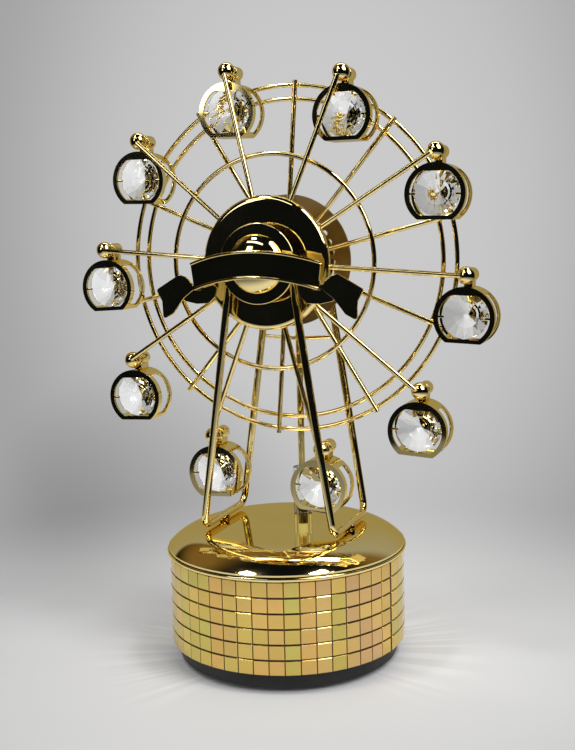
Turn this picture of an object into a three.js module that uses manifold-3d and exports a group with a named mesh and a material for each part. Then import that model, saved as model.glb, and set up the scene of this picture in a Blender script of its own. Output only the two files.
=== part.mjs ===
// A wind-up musical ferris wheel on a mirror-tiled drum, in millimetres.
// +Z is up, the wheel's axle lies along Y and the banner faces -Y.
// The origin is the middle of the base, on the surface that the feet stand on.
import * as THREE from 'three';
import { mergeVertices } from 'three/addons/utils/BufferGeometryUtils.js';
import Module from 'manifold-3d';

const wasm = await Module();
wasm.setup();

// Gaps and cutting
const seatGap = 0.3;
const runGap = 0.35;
const overrun = 2;

// Counts of facets and steps
const bandSides = 40;
const ringSteps = 40;
const ringSides = 5;
const wireSides = 6;
const rodSides = 8;
const turnedSides = 16;
const smallSides = 8;
const eyeSteps = 3;
const bendSteps = 3;

// Feet and bottom plate
const footCount = 3;
const footHeight = 1.2;
const footRadius = 4;
const footInset = 7.1;
const footFirstAngle = -30;
const bottomPlateInset = 2.6;
const bottomPlateHeight = 4.7;
const bottomPlateWall = 1.6;
const keyWellRadius = 14;
const postRadius = 2.6;
const postInset = 10.4;
const postFirstAngle = 90;
const postCount = 3;

// Drum, mirror tiles and cover
const tilePitch = 5.03;
const tileRows = 6;
const bandRadius = 40;
const bandThickness = 1.3;
const drumWall = 1.8;
const trimHeight = 1.2;
const trimProud = 0.7;
const trimWidth = 2.4;
const coverSkirtProud = 0.2;
const coverRise = 6;
const coverShoulderWidth = 14.2;
const coverWall = 0.9;
const shoulderSteps = 4;

// Leg frames
const legRodRadius = 1.25;
const legPlane = 16.8;
const legFootMargin = 3.1;
const legTopHalfSpan = 10.05;
const legBarLift = 1.9;
const legBendRadius = 4;
const legTopAboveHub = 2.5;
const studRadius = 1;
const studCollarRadius = 1.9;
const nutRadius = 2.6;
const nutHeight = 1.8;
const nutSides = 6;

// Hub
const hubAboveCover = 89.4;
const axleRadius = 1.5;
const bearingPlateRadius = 12.9;
const bearingPlateThickness = 1.05;
const domeRadius = 9.4;
const domeHeight = 3.9;
const domeWall = 0.7;
const domeSteps = 3;
const rearCapRadius = 5;
const rearCapHeight = 2.4;
// The rear cap's outline as shares of its radius and its height.
const rearCapShares = [[0, 1], [0.6, 0.9], [1, 0.4]];
const spacerRadius = 3.1;

// Wheel
const wheelTurn = -4.36;
const spokeCount = 10;
const spokeRadius = 0.8;
const hubTubeRadius = 3.5;
const collarRadius = 6.5;
const frontDiscRadius = 21.7;
const frontDiscFace = 13.2;
const frontDiscDepth = 2.1;
const frontDiscWall = 0.8;
const frontDiscRound = 1.5;
const roundSteps = 2;
const frontSpokeHubPlane = 10.2;
const frontSpokeTipPlane = 7.1;
const frontCollarBack = 9.2;
const pinCircleRadius = 63.8;
const spokeTipSetback = 1.2;
const innerRingRadius = 34.9;
const ringWireRadius = 0.75;
const rearSpokePlane = 6.85;
const rearSpokeOverhang = 1.4;
const rearCollarFront = 5.7;
const outerRingRadius = 57.9;
const ringSpacing = 4.5;
const rearDiscRadius = 22.1;
const rearDiscThickness = 1;
const driveHoleRadius = 1.1;
const driveHoleSides = 6;
const driveHoleCircleRadius = 15.85;
const driveHoleCount = 30;
const driveHoleFirstAngle = 3.7;

// Pins that carry the gondolas, each with a ball on its front end
const ballRadius = 2.85;
const ballSink = 0.9;
const ballSides = 8;
const ballBands = 5;
const pinRadius = 0.7;
const pinBack = 4.7;

// Gondolas, measured from their pin
const gondolaRadius = 9.65;
const gondolaDrop = 13.1;
const gondolaFlatShare = 0.82;
const gondolaFrontPlane = 5.4;
const gondolaDepth = 9.9;
const faceThickness = 0.9;
const openingRadius = 8.1;
const openingTopShare = 0.86;
const wallThickness = 0.7;
const wallDepth = 2.4;
const rearRingWidth = 0.95;
const rearRingThickness = 1.6;
const eyeRadius = 2.25;
const eyeBore = 1.15;
const eyeNeckShare = 0.6;
const eyeBack = 4.3;
const clawLength = 1.7;
const clawWidth = 0.7;
const clawDepth = 0.4;
const sideSteps = 4;
// Angles up and down from the middle of the side, between which the wall is open.
const sideOpeningTop = 52;
const sideOpeningBottom = -44;
const topSteps = 4;
const gondolaLeans = [-1, 0, -1, -3, -4, -6, 2, 2, 3, -1];

// Crystals
const crystalRadius = 7.4;
const crystalRaise = 0.6;
const crystalGirdle = 0.8;
const crystalCrown = 1.6;
const crystalPavilion = 4.2;
const crystalFacets = 12;

// Banner
const bannerHalfWidth = 22.2;
const bannerTaper = 0.55;
const bannerHeight = 8.9;
const bannerThickness = 0.9;
const bannerSag = 3.75;
const bannerBow = 3.5;
const bannerFront = 25;
const bannerSteps = 10;
const bannerRimWidth = 0.75;
const bannerRimDepth = 0.35;
const bannerRimProud = 0.12;
const bannerRimReachShare = 0.99;
const tailPlane = 19.5;
const foldPlane = 19.1;
const bannerWebWidth = 2.7;
const bannerWebHeight = 3;
const bannerPostRadius = 0.8;
const bannerPostSpan = 11;
// Outlines of the tail and the fold as shares of the banner's half width, out from its middle and up.
const tailShares = [
  [1.02, -0.26], [1.12, -0.17], [1.22, -0.14], [1.36, -0.22], [1.6, -0.36],
  [1.51, -0.53], [1.5, -0.8], [1.33, -0.71], [1.16, -0.49], [1.0, -0.37],
];
const foldShares = [
  [0.7, -0.25], [0.62, -0.34], [0.66, -0.47], [0.76, -0.56], [0.95, -0.57], [1.18, -0.52], [1.05, -0.3],
];

// Drive rod, its clear coupling sleeve and its guide
const driveRodRadius = 1.15;
const driveRodPlane = 16.5;
const driveRodEndAboveCover = 8.8;
const sleeveHeight = 16.2;
const sleeveRadius = 3.15;
const plugRadius = 1.7;
const plugHeight = 3.6;
const plugSocketHeight = 8;
const pinionPinCount = 15;
const pinionPinRadius = 0.5;
const pinionTipRadius = 7.9;
const pinionBodyRadius = 5.6;
const pinionThickness = 2.2;
const rodTopAbovePinion = 1.6;
const guideAboveCover = 62.8;
const guideWireRadius = 0.6;
const guideDip = 0.6;

// Musical movement inside the drum
const bedplateHeight = 14;
const bedplateThickness = 1.5;
const bedplateHalfDepth = 14.5;
const bedplateStart = 15;
const bedplateClearance = 1;
const barrelRadius = 11.3;
const barrelWall = 0.9;
const barrelGearRadius = 12;
const barrelHeight = 10;
const gearWidth = 2;
const toothDepth = 0.7;
const barrelTeeth = 48;
const takeoffTeeth = 16;
const takeoffArborRadius = 1.3;
const coverHoleRadius = 2.4;
const springThickness = 0.5;
const springTurns = 3;
const springStepsPerTurn = 12;
const keyShaftRadius = 2;
const keyBottom = 3.8;
const keyHalfWidth = 11;
const keyWingHeight = 8;
const keyWingThickness = 1.6;
const keyCornerShare = 0.7;
const cylinderRadius = 5.6;
const cylinderStart = 12.4;
const cylinderAxleRadius = 1;
const cylinderGearRadius = 4.9;
const cylinderGearWidth = 1.4;
const cylinderGearStart = 9.9;
const cylinderTeeth = 22;
const bracketThickness = 1.2;
const bracketInset = 0.55;
const bracketHalfWidth = 14;
const bracketPostWidth = 2;
const bracketHeadHeight = 4;
const combTeeth = 18;
const combLength = 11;
const combThickness = 1;
const combRoot = 3.5;
const combSlotShare = 0.35;
const governorInset = 11.5;
const governorY = 10.6;
const fanHalfWidth = 3.6;
const fanHeight = 7;
const fanThickness = 0.8;
const spindleRadius = 0.7;
const governorArmLength = 6;
const governorArmWidth = 1.6;

// Heights and places that follow from the drum and from the pieces stacked up from the floor
const bottomPlateRadius = bandRadius - bottomPlateInset;
const footCircleRadius = bottomPlateRadius - footInset;
const postCircleRadius = bottomPlateRadius - postInset;
const plateBottom = footHeight + seatGap;
const plateTop = plateBottom + bottomPlateHeight;
const bandBottom = plateTop + seatGap;
const bandTop = bandBottom + tilePitch * tileRows;
const trimBottom = bandTop + seatGap;
const trimTop = trimBottom + trimHeight;
const trimRadius = bandRadius + trimProud;
const coverSkirtRadius = bandRadius + coverSkirtProud;
const coverFlatRadius = coverSkirtRadius - coverShoulderWidth;
const legFootHalfSpan = coverFlatRadius - legFootMargin;
const coverBottom = trimTop + seatGap;
const coverTop = coverBottom + coverRise;
const drumRadius = bandRadius - bandThickness - seatGap;
const hubZ = coverTop + hubAboveCover;
const legBarZ = coverTop + legBarLift;
const bedplateTop = bedplateHeight + bedplateThickness;
const barrelBottom = bedplateTop + runGap;
const barrelTop = barrelBottom + barrelHeight;
const cylinderZ = barrelTop + runGap + cylinderGearRadius;
const bedplateReach = drumRadius - drumWall - bedplateClearance;
const bedplateEnd = Math.sqrt(bedplateReach ** 2 - bedplateHalfDepth ** 2);
const cylinderEnd = bedplateEnd - bracketInset - bracketThickness - runGap;
const cylinderLength = cylinderEnd - cylinderStart;
const governorX = bedplateEnd - governorInset;
const bracketInner = cylinderGearStart - runGap - bracketThickness;
const bracketOuter = cylinderEnd + runGap;
const takeoffGearRadius = driveRodPlane - barrelGearRadius - runGap;
const frontSpokeTipRadius = pinCircleRadius - spokeTipSetback;
const rearSpokeTipRadius = outerRingRadius + rearSpokeOverhang;
const secondRingRadius = outerRingRadius - ringSpacing;
const rearDiscFront = rearSpokePlane + spokeRadius + seatGap;
const rearDiscBack = rearDiscFront + rearDiscThickness;
const rearRingPlane = rearSpokePlane + spokeRadius + seatGap + ringWireRadius;
const plateInside = legPlane + legRodRadius + seatGap;
const plateOutside = plateInside + bearingPlateThickness;
const frontHubEnd = frontDiscFace - frontDiscWall - seatGap;
const spokeStartRadius = (hubTubeRadius + collarRadius) / 2;
const ballPlane = -frontSpokeTipPlane + spokeRadius + ballRadius - ballSink;
const frontEyeStart = ballPlane + ballRadius + runGap;
const pinionZ = hubZ - driveHoleCircleRadius;
const combFront = cylinderRadius + runGap;
const combBack = combFront + combLength;

const finishes = {
  gold: new THREE.MeshStandardMaterial({ color: 0xd9a93c, metalness: 1, roughness: 0.08 }),
  satinGold: new THREE.MeshStandardMaterial({ color: 0xb8893a, metalness: 1, roughness: 0.4 }),
  tile: new THREE.MeshStandardMaterial({ color: 0xd8b878, metalness: 1, roughness: 0.15 }),
  crystal: new THREE.MeshStandardMaterial({ color: 0xf2f4f5, metalness: 0, roughness: 0.02 }),
  clearPlastic: new THREE.MeshStandardMaterial({ color: 0xe6e8e6, metalness: 0, roughness: 0.1 }),
  blackPlastic: new THREE.MeshStandardMaterial({ color: 0x151515, metalness: 0, roughness: 0.5 }),
  rubber: new THREE.MeshStandardMaterial({ color: 0x2a2a2c, metalness: 0, roughness: 0.9 }),
  steel: new THREE.MeshStandardMaterial({ color: 0xb9bcc0, metalness: 1, roughness: 0.3 }),
  brass: new THREE.MeshStandardMaterial({ color: 0xc9a455, metalness: 1, roughness: 0.3 }),
};

const radians = THREE.MathUtils.degToRad;

// A closed geometry as a solid that can be joined and cut.
function solid(geometry) {
  const bare = geometry.clone();
  for (const name of Object.keys(bare.attributes)) {
    if (name !== 'position') bare.deleteAttribute(name);
  }
  const merged = mergeVertices(bare);
  const points = merged.attributes.position;
  const index = merged.index.array;
  const corners = [];
  for (let k = 0; k < index.length; k += 3) {
    const [a, b, c] = [index[k], index[k + 1], index[k + 2]];
    if (a !== b && b !== c && c !== a) corners.push(a, b, c);
  }
  const [p, q, r] = [new THREE.Vector3(), new THREE.Vector3(), new THREE.Vector3()];
  let volume = 0;
  for (let k = 0; k < corners.length; k += 3) {
    p.fromBufferAttribute(points, corners[k]);
    q.fromBufferAttribute(points, corners[k + 1]);
    r.fromBufferAttribute(points, corners[k + 2]);
    volume += p.dot(q.cross(r));
  }
  if (volume < 0) corners.reverse();
  const vertProperties = new Float32Array(points.array);
  return new wasm.Manifold(new wasm.Mesh({ numProp: 3, vertProperties, triVerts: new Uint32Array(corners) }));
}

function asSolid(piece) {
  return piece.isBufferGeometry ? solid(piece) : piece;
}

function join(...pieces) {
  return pieces.map(asSolid).reduce((sum, piece) => sum.add(piece));
}

function cut(piece, ...tools) {
  return tools.map(asSolid).reduce((left, tool) => left.subtract(tool), asSolid(piece));
}

function meshNamed(name, piece, finish) {
  const { numProp, vertProperties, triVerts } = asSolid(piece).getMesh();
  const geometry = new THREE.BufferGeometry();
  geometry.setAttribute('position', new THREE.BufferAttribute(new Float32Array(vertProperties), numProp));
  geometry.setIndex(new THREE.BufferAttribute(new Uint32Array(triVerts), 1));
  geometry.computeVertexNormals();
  const mesh = new THREE.Mesh(geometry, finish);
  mesh.name = name;
  return mesh;
}

// Turned pieces. A profile lists a radius and a place along the axis.
function turnedAlongY(profile, sides) {
  return new THREE.LatheGeometry(profile.map(([radius, along]) => new THREE.Vector2(radius, along)), sides);
}

function turnedAlongZ(profile, sides) {
  return turnedAlongY(profile, sides).rotateX(Math.PI / 2);
}

function turnedAlongX(profile, sides) {
  return turnedAlongY(profile, sides).rotateZ(-Math.PI / 2);
}

function ringProfile(inner, outer, low, high) {
  return [[inner, low], [outer, low], [outer, high], [inner, high], [inner, low]];
}

function barProfile(radius, low, high) {
  return [[0, low], [radius, low], [radius, high], [0, high]];
}

// The quarter of an ellipse as a profile, from its widest point to its top.
function quarter(radius, inner, low, height, steps) {
  return Array.from({ length: steps + 1 }, (_, k) => {
    const angle = (k / steps) * (Math.PI / 2);
    return [inner + (radius - inner) * Math.cos(angle), low + height * Math.sin(angle)];
  });
}

function boxBetween(low, high) {
  const size = high.map((value, axis) => value - low[axis]);
  return new THREE.BoxGeometry(...size).translate(...low.map((value, axis) => value + size[axis] / 2));
}

// A box whose place along X is mirrored when side is -1.
function boxBeside(side, inner, outer, low, high) {
  const ends = [side * inner, side * outer];
  return boxBetween([Math.min(...ends), ...low], [Math.max(...ends), ...high]);
}

// A flat outline in X and Z, given a thickness from its front plane towards +Y.
function plateFacingFront(shape, front, thickness, steps) {
  return new THREE.ExtrudeGeometry(shape, { depth: thickness, bevelEnabled: false, curveSegments: steps })
    .rotateX(Math.PI / 2)
    .translate(0, front + thickness, 0);
}

// A skin over a row of matching rings of points. It ends in flat caps, or runs round to its start.
function loft(rings, runsRound = false) {
  const count = rings[0].length;
  const index = [];
  const spans = runsRound ? rings.length : rings.length - 1;
  for (let k = 0; k < spans; k += 1) {
    const next = (k + 1) % rings.length;
    for (let i = 0; i < count; i += 1) {
      const j = (i + 1) % count;
      index.push(k * count + i, k * count + j, next * count + j);
      index.push(k * count + i, next * count + j, next * count + i);
    }
  }
  const last = spans * count;
  for (let i = 1; i + 1 < count && !runsRound; i += 1) {
    index.push(0, i + 1, i, last, last + i, last + i + 1);
  }
  const geometry = new THREE.BufferGeometry().setFromPoints(rings.flat());
  geometry.setIndex(index);
  return geometry;
}

// A round wire through points, with its section carried along without twist.
function wire(points, radius, sides = wireSides) {
  let normal = new THREE.Vector3();
  const rings = points.map((point, k) => {
    const before = points[Math.max(k - 1, 0)];
    const after = points[Math.min(k + 1, points.length - 1)];
    const tangent = after.clone().sub(before).normalize();
    if (k === 0) normal = new THREE.Vector3(tangent.y, tangent.z, tangent.x);
    normal.addScaledVector(tangent, -normal.dot(tangent)).normalize();
    const side = tangent.clone().cross(normal);
    return Array.from({ length: sides }, (_, i) => {
      const angle = (i / sides) * 2 * Math.PI;
      return point.clone()
        .addScaledVector(normal, radius * Math.cos(angle))
        .addScaledVector(side, radius * Math.sin(angle));
    });
  });
  return loft(rings);
}

// The corners of a path, with each inner corner rounded by an arc.
function roundedPath(corners, bendRadius) {
  const path = [corners[0]];
  for (let k = 1; k + 1 < corners.length; k += 1) {
    const back = corners[k - 1].clone().sub(corners[k]).normalize();
    const ahead = corners[k + 1].clone().sub(corners[k]).normalize();
    const halfAngle = Math.acos(back.dot(ahead)) / 2;
    const reach = bendRadius / Math.tan(halfAngle);
    const middle = back.clone().add(ahead).normalize();
    const centre = corners[k].clone().addScaledVector(middle, bendRadius / Math.sin(halfAngle));
    const from = corners[k].clone().addScaledVector(back, reach).sub(centre);
    const to = corners[k].clone().addScaledVector(ahead, reach).sub(centre);
    const axis = from.clone().cross(to).normalize();
    const sweep = from.angleTo(to);
    for (let step = 0; step <= bendSteps; step += 1) {
      path.push(from.clone().applyAxisAngle(axis, (sweep * step) / bendSteps).add(centre));
    }
  }
  path.push(corners[corners.length - 1]);
  return path;
}

// A fine-toothed wheel along Z, with pointed teeth.
function toothedWheel(teeth, tipRadius, depth, width, bore) {
  const shape = new THREE.Shape(Array.from({ length: 2 * teeth }, (_, k) => {
    const angle = (k * Math.PI) / teeth;
    const radius = k % 2 ? tipRadius - depth : tipRadius;
    return new THREE.Vector2(radius * Math.cos(angle), radius * Math.sin(angle));
  }));
  shape.holes.push(new THREE.Path().absarc(0, 0, bore, 0, 2 * Math.PI, true));
  return new THREE.ExtrudeGeometry(shape, { depth: width, bevelEnabled: false, curveSegments: smallSides });
}

function onCircle(geometry, radius, degrees) {
  return geometry.translate(radius * Math.cos(radians(degrees)), radius * Math.sin(radians(degrees)), 0);
}

function postAngle(k) {
  return postFirstAngle + (k * 360) / postCount;
}

// Base
function foot(k) {
  const pad = turnedAlongZ(barProfile(footRadius, 0, footHeight), turnedSides);
  return onCircle(pad, footCircleRadius, footFirstAngle + (k * 360) / footCount);
}

function bottomPlate() {
  const floorTop = plateBottom + bottomPlateWall;
  const cup = turnedAlongZ([
    [keyWellRadius, plateBottom],
    [bottomPlateRadius, plateBottom],
    [bottomPlateRadius, plateTop],
    [bottomPlateRadius - bottomPlateWall, plateTop],
    [bottomPlateRadius - bottomPlateWall, floorTop],
    [keyWellRadius, floorTop],
    [keyWellRadius, plateBottom],
  ], bandSides);
  const posts = Array.from({ length: postCount }, (_, k) => {
    const post = turnedAlongZ(barProfile(postRadius, plateBottom, bedplateHeight - seatGap), smallSides);
    return onCircle(post, postCircleRadius, postAngle(k));
  });
  return join(cup, ...posts);
}

// The cover's outline: flat in the middle, then an arc down to the rim.
function coverSurface(inset) {
  const [width, drop] = [coverShoulderWidth - inset, coverRise - inset];
  const bend = (width ** 2 + drop ** 2) / (2 * drop);
  const sweep = Math.asin(width / bend);
  const shoulder = Array.from({ length: shoulderSteps + 1 }, (_, k) => {
    const angle = sweep * (1 - k / shoulderSteps);
    return [coverFlatRadius + bend * Math.sin(angle), coverBottom + drop - bend * (1 - Math.cos(angle))];
  });
  return [...shoulder, [0, coverTop - inset]];
}

function topCover() {
  const outside = coverSurface(0);
  const shell = turnedAlongZ([...outside, ...coverSurface(coverWall).reverse(), outside[0]], bandSides);
  const hole = (radius) => turnedAlongZ(barProfile(radius, coverBottom, coverTop + overrun), smallSides);
  return cut(
    shell,
    hole(coverHoleRadius).translate(0, driveRodPlane, 0),
    hole(studRadius + seatGap).translate(-legFootHalfSpan, 0, 0),
    hole(studRadius + seatGap).translate(legFootHalfSpan, 0, 0),
  );
}

// Legs
function legHalfSpanAt(height) {
  const share = (height - legBarZ) / (hubZ - legBarZ);
  return legFootHalfSpan - share * (legFootHalfSpan - legTopHalfSpan);
}

function legFrame(side) {
  const top = hubZ + legTopAboveHub;
  const corners = [
    [side * legHalfSpanAt(top), -legPlane, top],
    [side * legFootHalfSpan, -legPlane, legBarZ],
    [side * legFootHalfSpan, legPlane, legBarZ],
    [side * legHalfSpanAt(top), legPlane, top],
  ].map((corner) => new THREE.Vector3(...corner));
  const rod = wire(roundedPath(corners, legBendRadius), legRodRadius, rodSides);
  const collar = turnedAlongZ(barProfile(studCollarRadius, coverTop + seatGap, legBarZ), smallSides);
  const studBottom = coverTop - coverWall - nutHeight - 2 * seatGap;
  const stud = turnedAlongZ(barProfile(studRadius, studBottom, legBarZ), smallSides);
  return join(rod, collar.translate(side * legFootHalfSpan, 0, 0), stud.translate(side * legFootHalfSpan, 0, 0));
}

function legNut(side) {
  const top = coverTop - coverWall - seatGap;
  return turnedAlongZ(ringProfile(studRadius + seatGap, nutRadius, top - nutHeight, top), nutSides)
    .translate(side * legFootHalfSpan, 0, 0);
}

// Hub pieces that stay still, measured from the middle of the wheel
function bearingPlate(face) {
  const ends = [face * plateInside, face * plateOutside];
  return turnedAlongY(ringProfile(axleRadius + seatGap, bearingPlateRadius, ...ends), ringSteps);
}

function domeCap() {
  const seat = plateOutside + seatGap;
  const outside = quarter(domeRadius, 0, seat, domeHeight, domeSteps);
  const inside = quarter(domeRadius - domeWall, 0, seat, domeHeight - domeWall, domeSteps).reverse();
  const profile = [...outside, ...inside, outside[0]];
  return turnedAlongY(profile.map(([radius, along]) => [radius, -along]), ringSteps);
}

function rearBearingPlate() {
  const cap = turnedAlongY([
    ...rearCapShares.map(([out, along]) => [out * rearCapRadius, plateOutside + along * rearCapHeight]),
    [rearCapRadius, plateInside + seatGap],
    [0, plateInside + seatGap],
  ], turnedSides);
  const bore = turnedAlongY(barProfile(axleRadius + seatGap, 0, plateOutside + seatGap), turnedSides);
  return cut(join(bearingPlate(1), cap), bore);
}

function axle() {
  return turnedAlongY(barProfile(axleRadius, -plateOutside, plateOutside), turnedSides);
}

function spacer(from, to) {
  return turnedAlongY(ringProfile(axleRadius + seatGap, spacerRadius, from, to), turnedSides);
}

// Wheel pieces
function wheelRing(radius, plane) {
  return new THREE.TorusGeometry(radius, ringWireRadius, ringSides, ringSteps)
    .rotateX(Math.PI / 2)
    .translate(0, plane, 0);
}

function spokeAngle(k) {
  return radians(90 - (k * 360) / spokeCount + wheelTurn);
}

function pinAngle(k) {
  return radians(90 - ((2 * k - 1) * 180) / spokeCount + wheelTurn);
}

function atRadius(radius, angle, plane) {
  return new THREE.Vector3(radius * Math.cos(angle), plane, radius * Math.sin(angle));
}

function roundedRim(radius, front, round) {
  return Array.from({ length: roundSteps + 1 }, (_, k) => {
    const angle = (k / roundSteps) * (Math.PI / 2);
    return [radius - round * (1 - Math.sin(angle)), front + round * (1 - Math.cos(angle))];
  });
}

function frontDisc() {
  const face = -frontDiscFace;
  const back = face + frontDiscDepth;
  const bore = axleRadius + runGap;
  const inside = roundedRim(frontDiscRadius - frontDiscWall, face + frontDiscWall, frontDiscRound - frontDiscWall);
  return turnedAlongY([
    [bore, face],
    ...roundedRim(frontDiscRadius, face, frontDiscRound),
    [frontDiscRadius, back],
    [frontDiscRadius - frontDiscWall, back],
    ...inside.reverse(),
    [bore, face + frontDiscWall],
    [bore, face],
  ], ringSteps);
}

function wheelHub() {
  const ends = [-frontHubEnd, rearDiscFront - seatGap];
  return turnedAlongY(ringProfile(axleRadius + runGap, hubTubeRadius, ...ends), turnedSides);
}

function spokeCollar(front, back) {
  return turnedAlongY(ringProfile(hubTubeRadius + seatGap, collarRadius, front, back), turnedSides);
}

function frontSpokeFrame() {
  const pieces = [spokeCollar(-frontHubEnd, -frontCollarBack)];
  for (let k = 0; k < spokeCount; k += 1) {
    const angle = pinAngle(k);
    const tip = atRadius(frontSpokeTipRadius, angle, -frontSpokeTipPlane);
    pieces.push(wire([atRadius(spokeStartRadius, angle, -frontSpokeHubPlane), tip], spokeRadius));
    const centre = atRadius(pinCircleRadius, angle, ballPlane);
    const ball = new THREE.SphereGeometry(ballRadius, ballSides, ballBands).rotateX(Math.PI / 2);
    pieces.push(ball.translate(...centre));
    pieces.push(wire([centre, atRadius(pinCircleRadius, angle, pinBack)], pinRadius));
  }
  return join(...pieces);
}

function frontSpokePlaneAt(radius) {
  const share = (radius - spokeStartRadius) / (frontSpokeTipRadius - spokeStartRadius);
  return -frontSpokeHubPlane + share * (frontSpokeHubPlane - frontSpokeTipPlane);
}

function rearSpokeFrame() {
  const pieces = [spokeCollar(rearCollarFront, rearDiscFront - seatGap)];
  for (let k = 0; k < spokeCount; k += 1) {
    const ends = [spokeStartRadius, rearSpokeTipRadius];
    pieces.push(wire(ends.map((radius) => atRadius(radius, spokeAngle(k), rearSpokePlane)), spokeRadius));
  }
  return join(...pieces);
}

function rearDisc() {
  const plate = turnedAlongY(
    ringProfile(axleRadius + runGap, rearDiscRadius, rearDiscFront, rearDiscBack), ringSteps);
  const holes = Array.from({ length: driveHoleCount }, (_, k) => {
    const angle = radians(-90 + driveHoleFirstAngle + (k * 360) / driveHoleCount);
    const ends = [rearDiscFront - overrun, rearDiscBack + overrun];
    const hole = turnedAlongY(barProfile(driveHoleRadius, ...ends), driveHoleSides);
    return hole.translate(...atRadius(driveHoleCircleRadius, angle, 0));
  });
  return cut(plate, ...holes);
}

// Gondola, with its pin's axis at the origin. Its outline is a circle cut off flat at the bottom.
const flatAngle = Math.asin(gondolaFlatShare);
const chordAngle = Math.asin(openingTopShare);
const rightSideAngles = [
  -flatAngle,
  ...Array.from({ length: sideSteps + 1 }, (_, k) => (
    radians(sideOpeningBottom + (k / sideSteps) * (sideOpeningTop - sideOpeningBottom))
  )),
];
const topAngles = Array.from({ length: topSteps + 1 }, (_, k) => (
  chordAngle + (k / topSteps) * (Math.PI - 2 * chordAngle)
));
const leftSideAngles = rightSideAngles.map((angle) => Math.PI - angle).reverse();
const gondolaAngles = [...rightSideAngles, ...topAngles, ...leftSideAngles];

// A point of the outline, whose top can be cut flat at a share of its radius.
function outlinePoint(radius, angle, plane, topShare = 1) {
  const reach = Math.min(radius, (radius * topShare) / Math.max(Math.sin(angle), topShare));
  return new THREE.Vector3(reach * Math.cos(angle), plane, -gondolaDrop + reach * Math.sin(angle));
}

// A profile of radius, place along Y and the share where the top is cut flat, carried round the outline.
function gondolaRing(profile) {
  return loft(gondolaAngles.map((angle) => (
    profile.map(([radius, plane, topShare]) => outlinePoint(radius, angle, plane, topShare))
  )), true);
}

// A stretch of the side wall that runs from the front ring to the rear one.
function wallStretch(angles, front, back) {
  const inner = gondolaRadius - wallThickness;
  return loft(angles.map((angle) => [
    outlinePoint(gondolaRadius, angle, front),
    outlinePoint(gondolaRadius, angle, back),
    outlinePoint(inner, angle, back),
    outlinePoint(inner, angle, front),
  ]));
}

function hangingBarrel() {
  const neckEnd = -gondolaDrop + gondolaRadius - wallThickness / 2;
  const shape = new THREE.Shape();
  shape.absarc(0, 0, eyeRadius, 0, Math.PI, false);
  shape.lineTo(-eyeRadius * eyeNeckShare, neckEnd);
  shape.lineTo(eyeRadius * eyeNeckShare, neckEnd);
  shape.closePath();
  shape.holes.push(new THREE.Path().absarc(0, 0, eyeBore, 0, 2 * Math.PI, true));
  return plateFacingFront(shape, frontEyeStart, eyeBack - frontEyeStart, eyeSteps);
}

function gondolaFrame() {
  const front = -gondolaFrontPlane;
  const back = front + gondolaDepth;
  const inner = gondolaRadius - wallThickness;
  const frontRing = gondolaRing([
    [gondolaRadius, front],
    [gondolaRadius, front + wallDepth],
    [inner, front + wallDepth],
    [inner, front + faceThickness],
    [openingRadius, front + faceThickness, openingTopShare],
    [openingRadius, front, openingTopShare],
  ]);
  const rearRing = gondolaRing([
    [gondolaRadius, back - rearRingThickness],
    [gondolaRadius, back],
    [gondolaRadius - rearRingWidth, back],
    [gondolaRadius - rearRingWidth, back - rearRingThickness],
  ]);
  const wallEnds = [front + wallDepth / 2, back - rearRingThickness / 2];
  const top = wallStretch([rightSideAngles.at(-1), ...topAngles, leftSideAngles[0]], ...wallEnds);
  const bottomAngles = [...leftSideAngles.slice(-2), ...rightSideAngles.slice(0, 2)];
  const bottom = wallStretch(bottomAngles, ...wallEnds);
  const claws = [-1, 1].map((side) => boxBeside(
    side, openingRadius - clawLength, inner,
    [front + faceThickness / 2, -gondolaDrop - clawWidth / 2],
    [front + faceThickness + clawDepth, -gondolaDrop + clawWidth / 2],
  ));
  return join(frontRing, rearRing, top, bottom, hangingBarrel(), ...claws);
}

function crystal() {
  const clawBack = -gondolaFrontPlane + faceThickness + clawDepth;
  const crownAtClaw = crystalCrown * (1 - (openingRadius - clawLength) / crystalRadius);
  const girdleFront = clawBack + seatGap + crownAtClaw;
  return turnedAlongY([
    [0, girdleFront - crystalCrown],
    [crystalRadius, girdleFront],
    [crystalRadius, girdleFront + crystalGirdle],
    [0, girdleFront + crystalGirdle + crystalPavilion],
  ], crystalFacets).translate(0, 0, -gondolaDrop + crystalRaise);
}

// Banner, measured from the middle of the wheel. It arches down and bows back towards its ends.
function bannerPlaneAt(share) {
  return -bannerFront + bannerBow * share * share;
}

function bannerBand(low, high, proud, thickness, reachShare) {
  const rings = [];
  for (let k = 0; k <= bannerSteps; k += 1) {
    const share = reachShare * ((2 * k) / bannerSteps - 1);
    const drop = bannerSag * share * share;
    const front = bannerPlaneAt(share) - proud;
    const back = bannerPlaneAt(share) + thickness;
    const reach = (height) => share * (bannerHalfWidth - bannerTaper + (2 * bannerTaper * height) / bannerHeight);
    rings.push([[low, front], [high, front], [high, back], [low, back]].map(([height, plane]) => (
      new THREE.Vector3(reach(height), plane, height - drop)
    )));
  }
  return loft(rings);
}

function bannerPlate(shares, side, plane) {
  const shape = new THREE.Shape(shares.map(([out, up]) => (
    new THREE.Vector2(side * out * bannerHalfWidth, up * bannerHalfWidth)
  )));
  return plateFacingFront(shape, -plane - bannerThickness, bannerThickness, 1);
}

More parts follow.
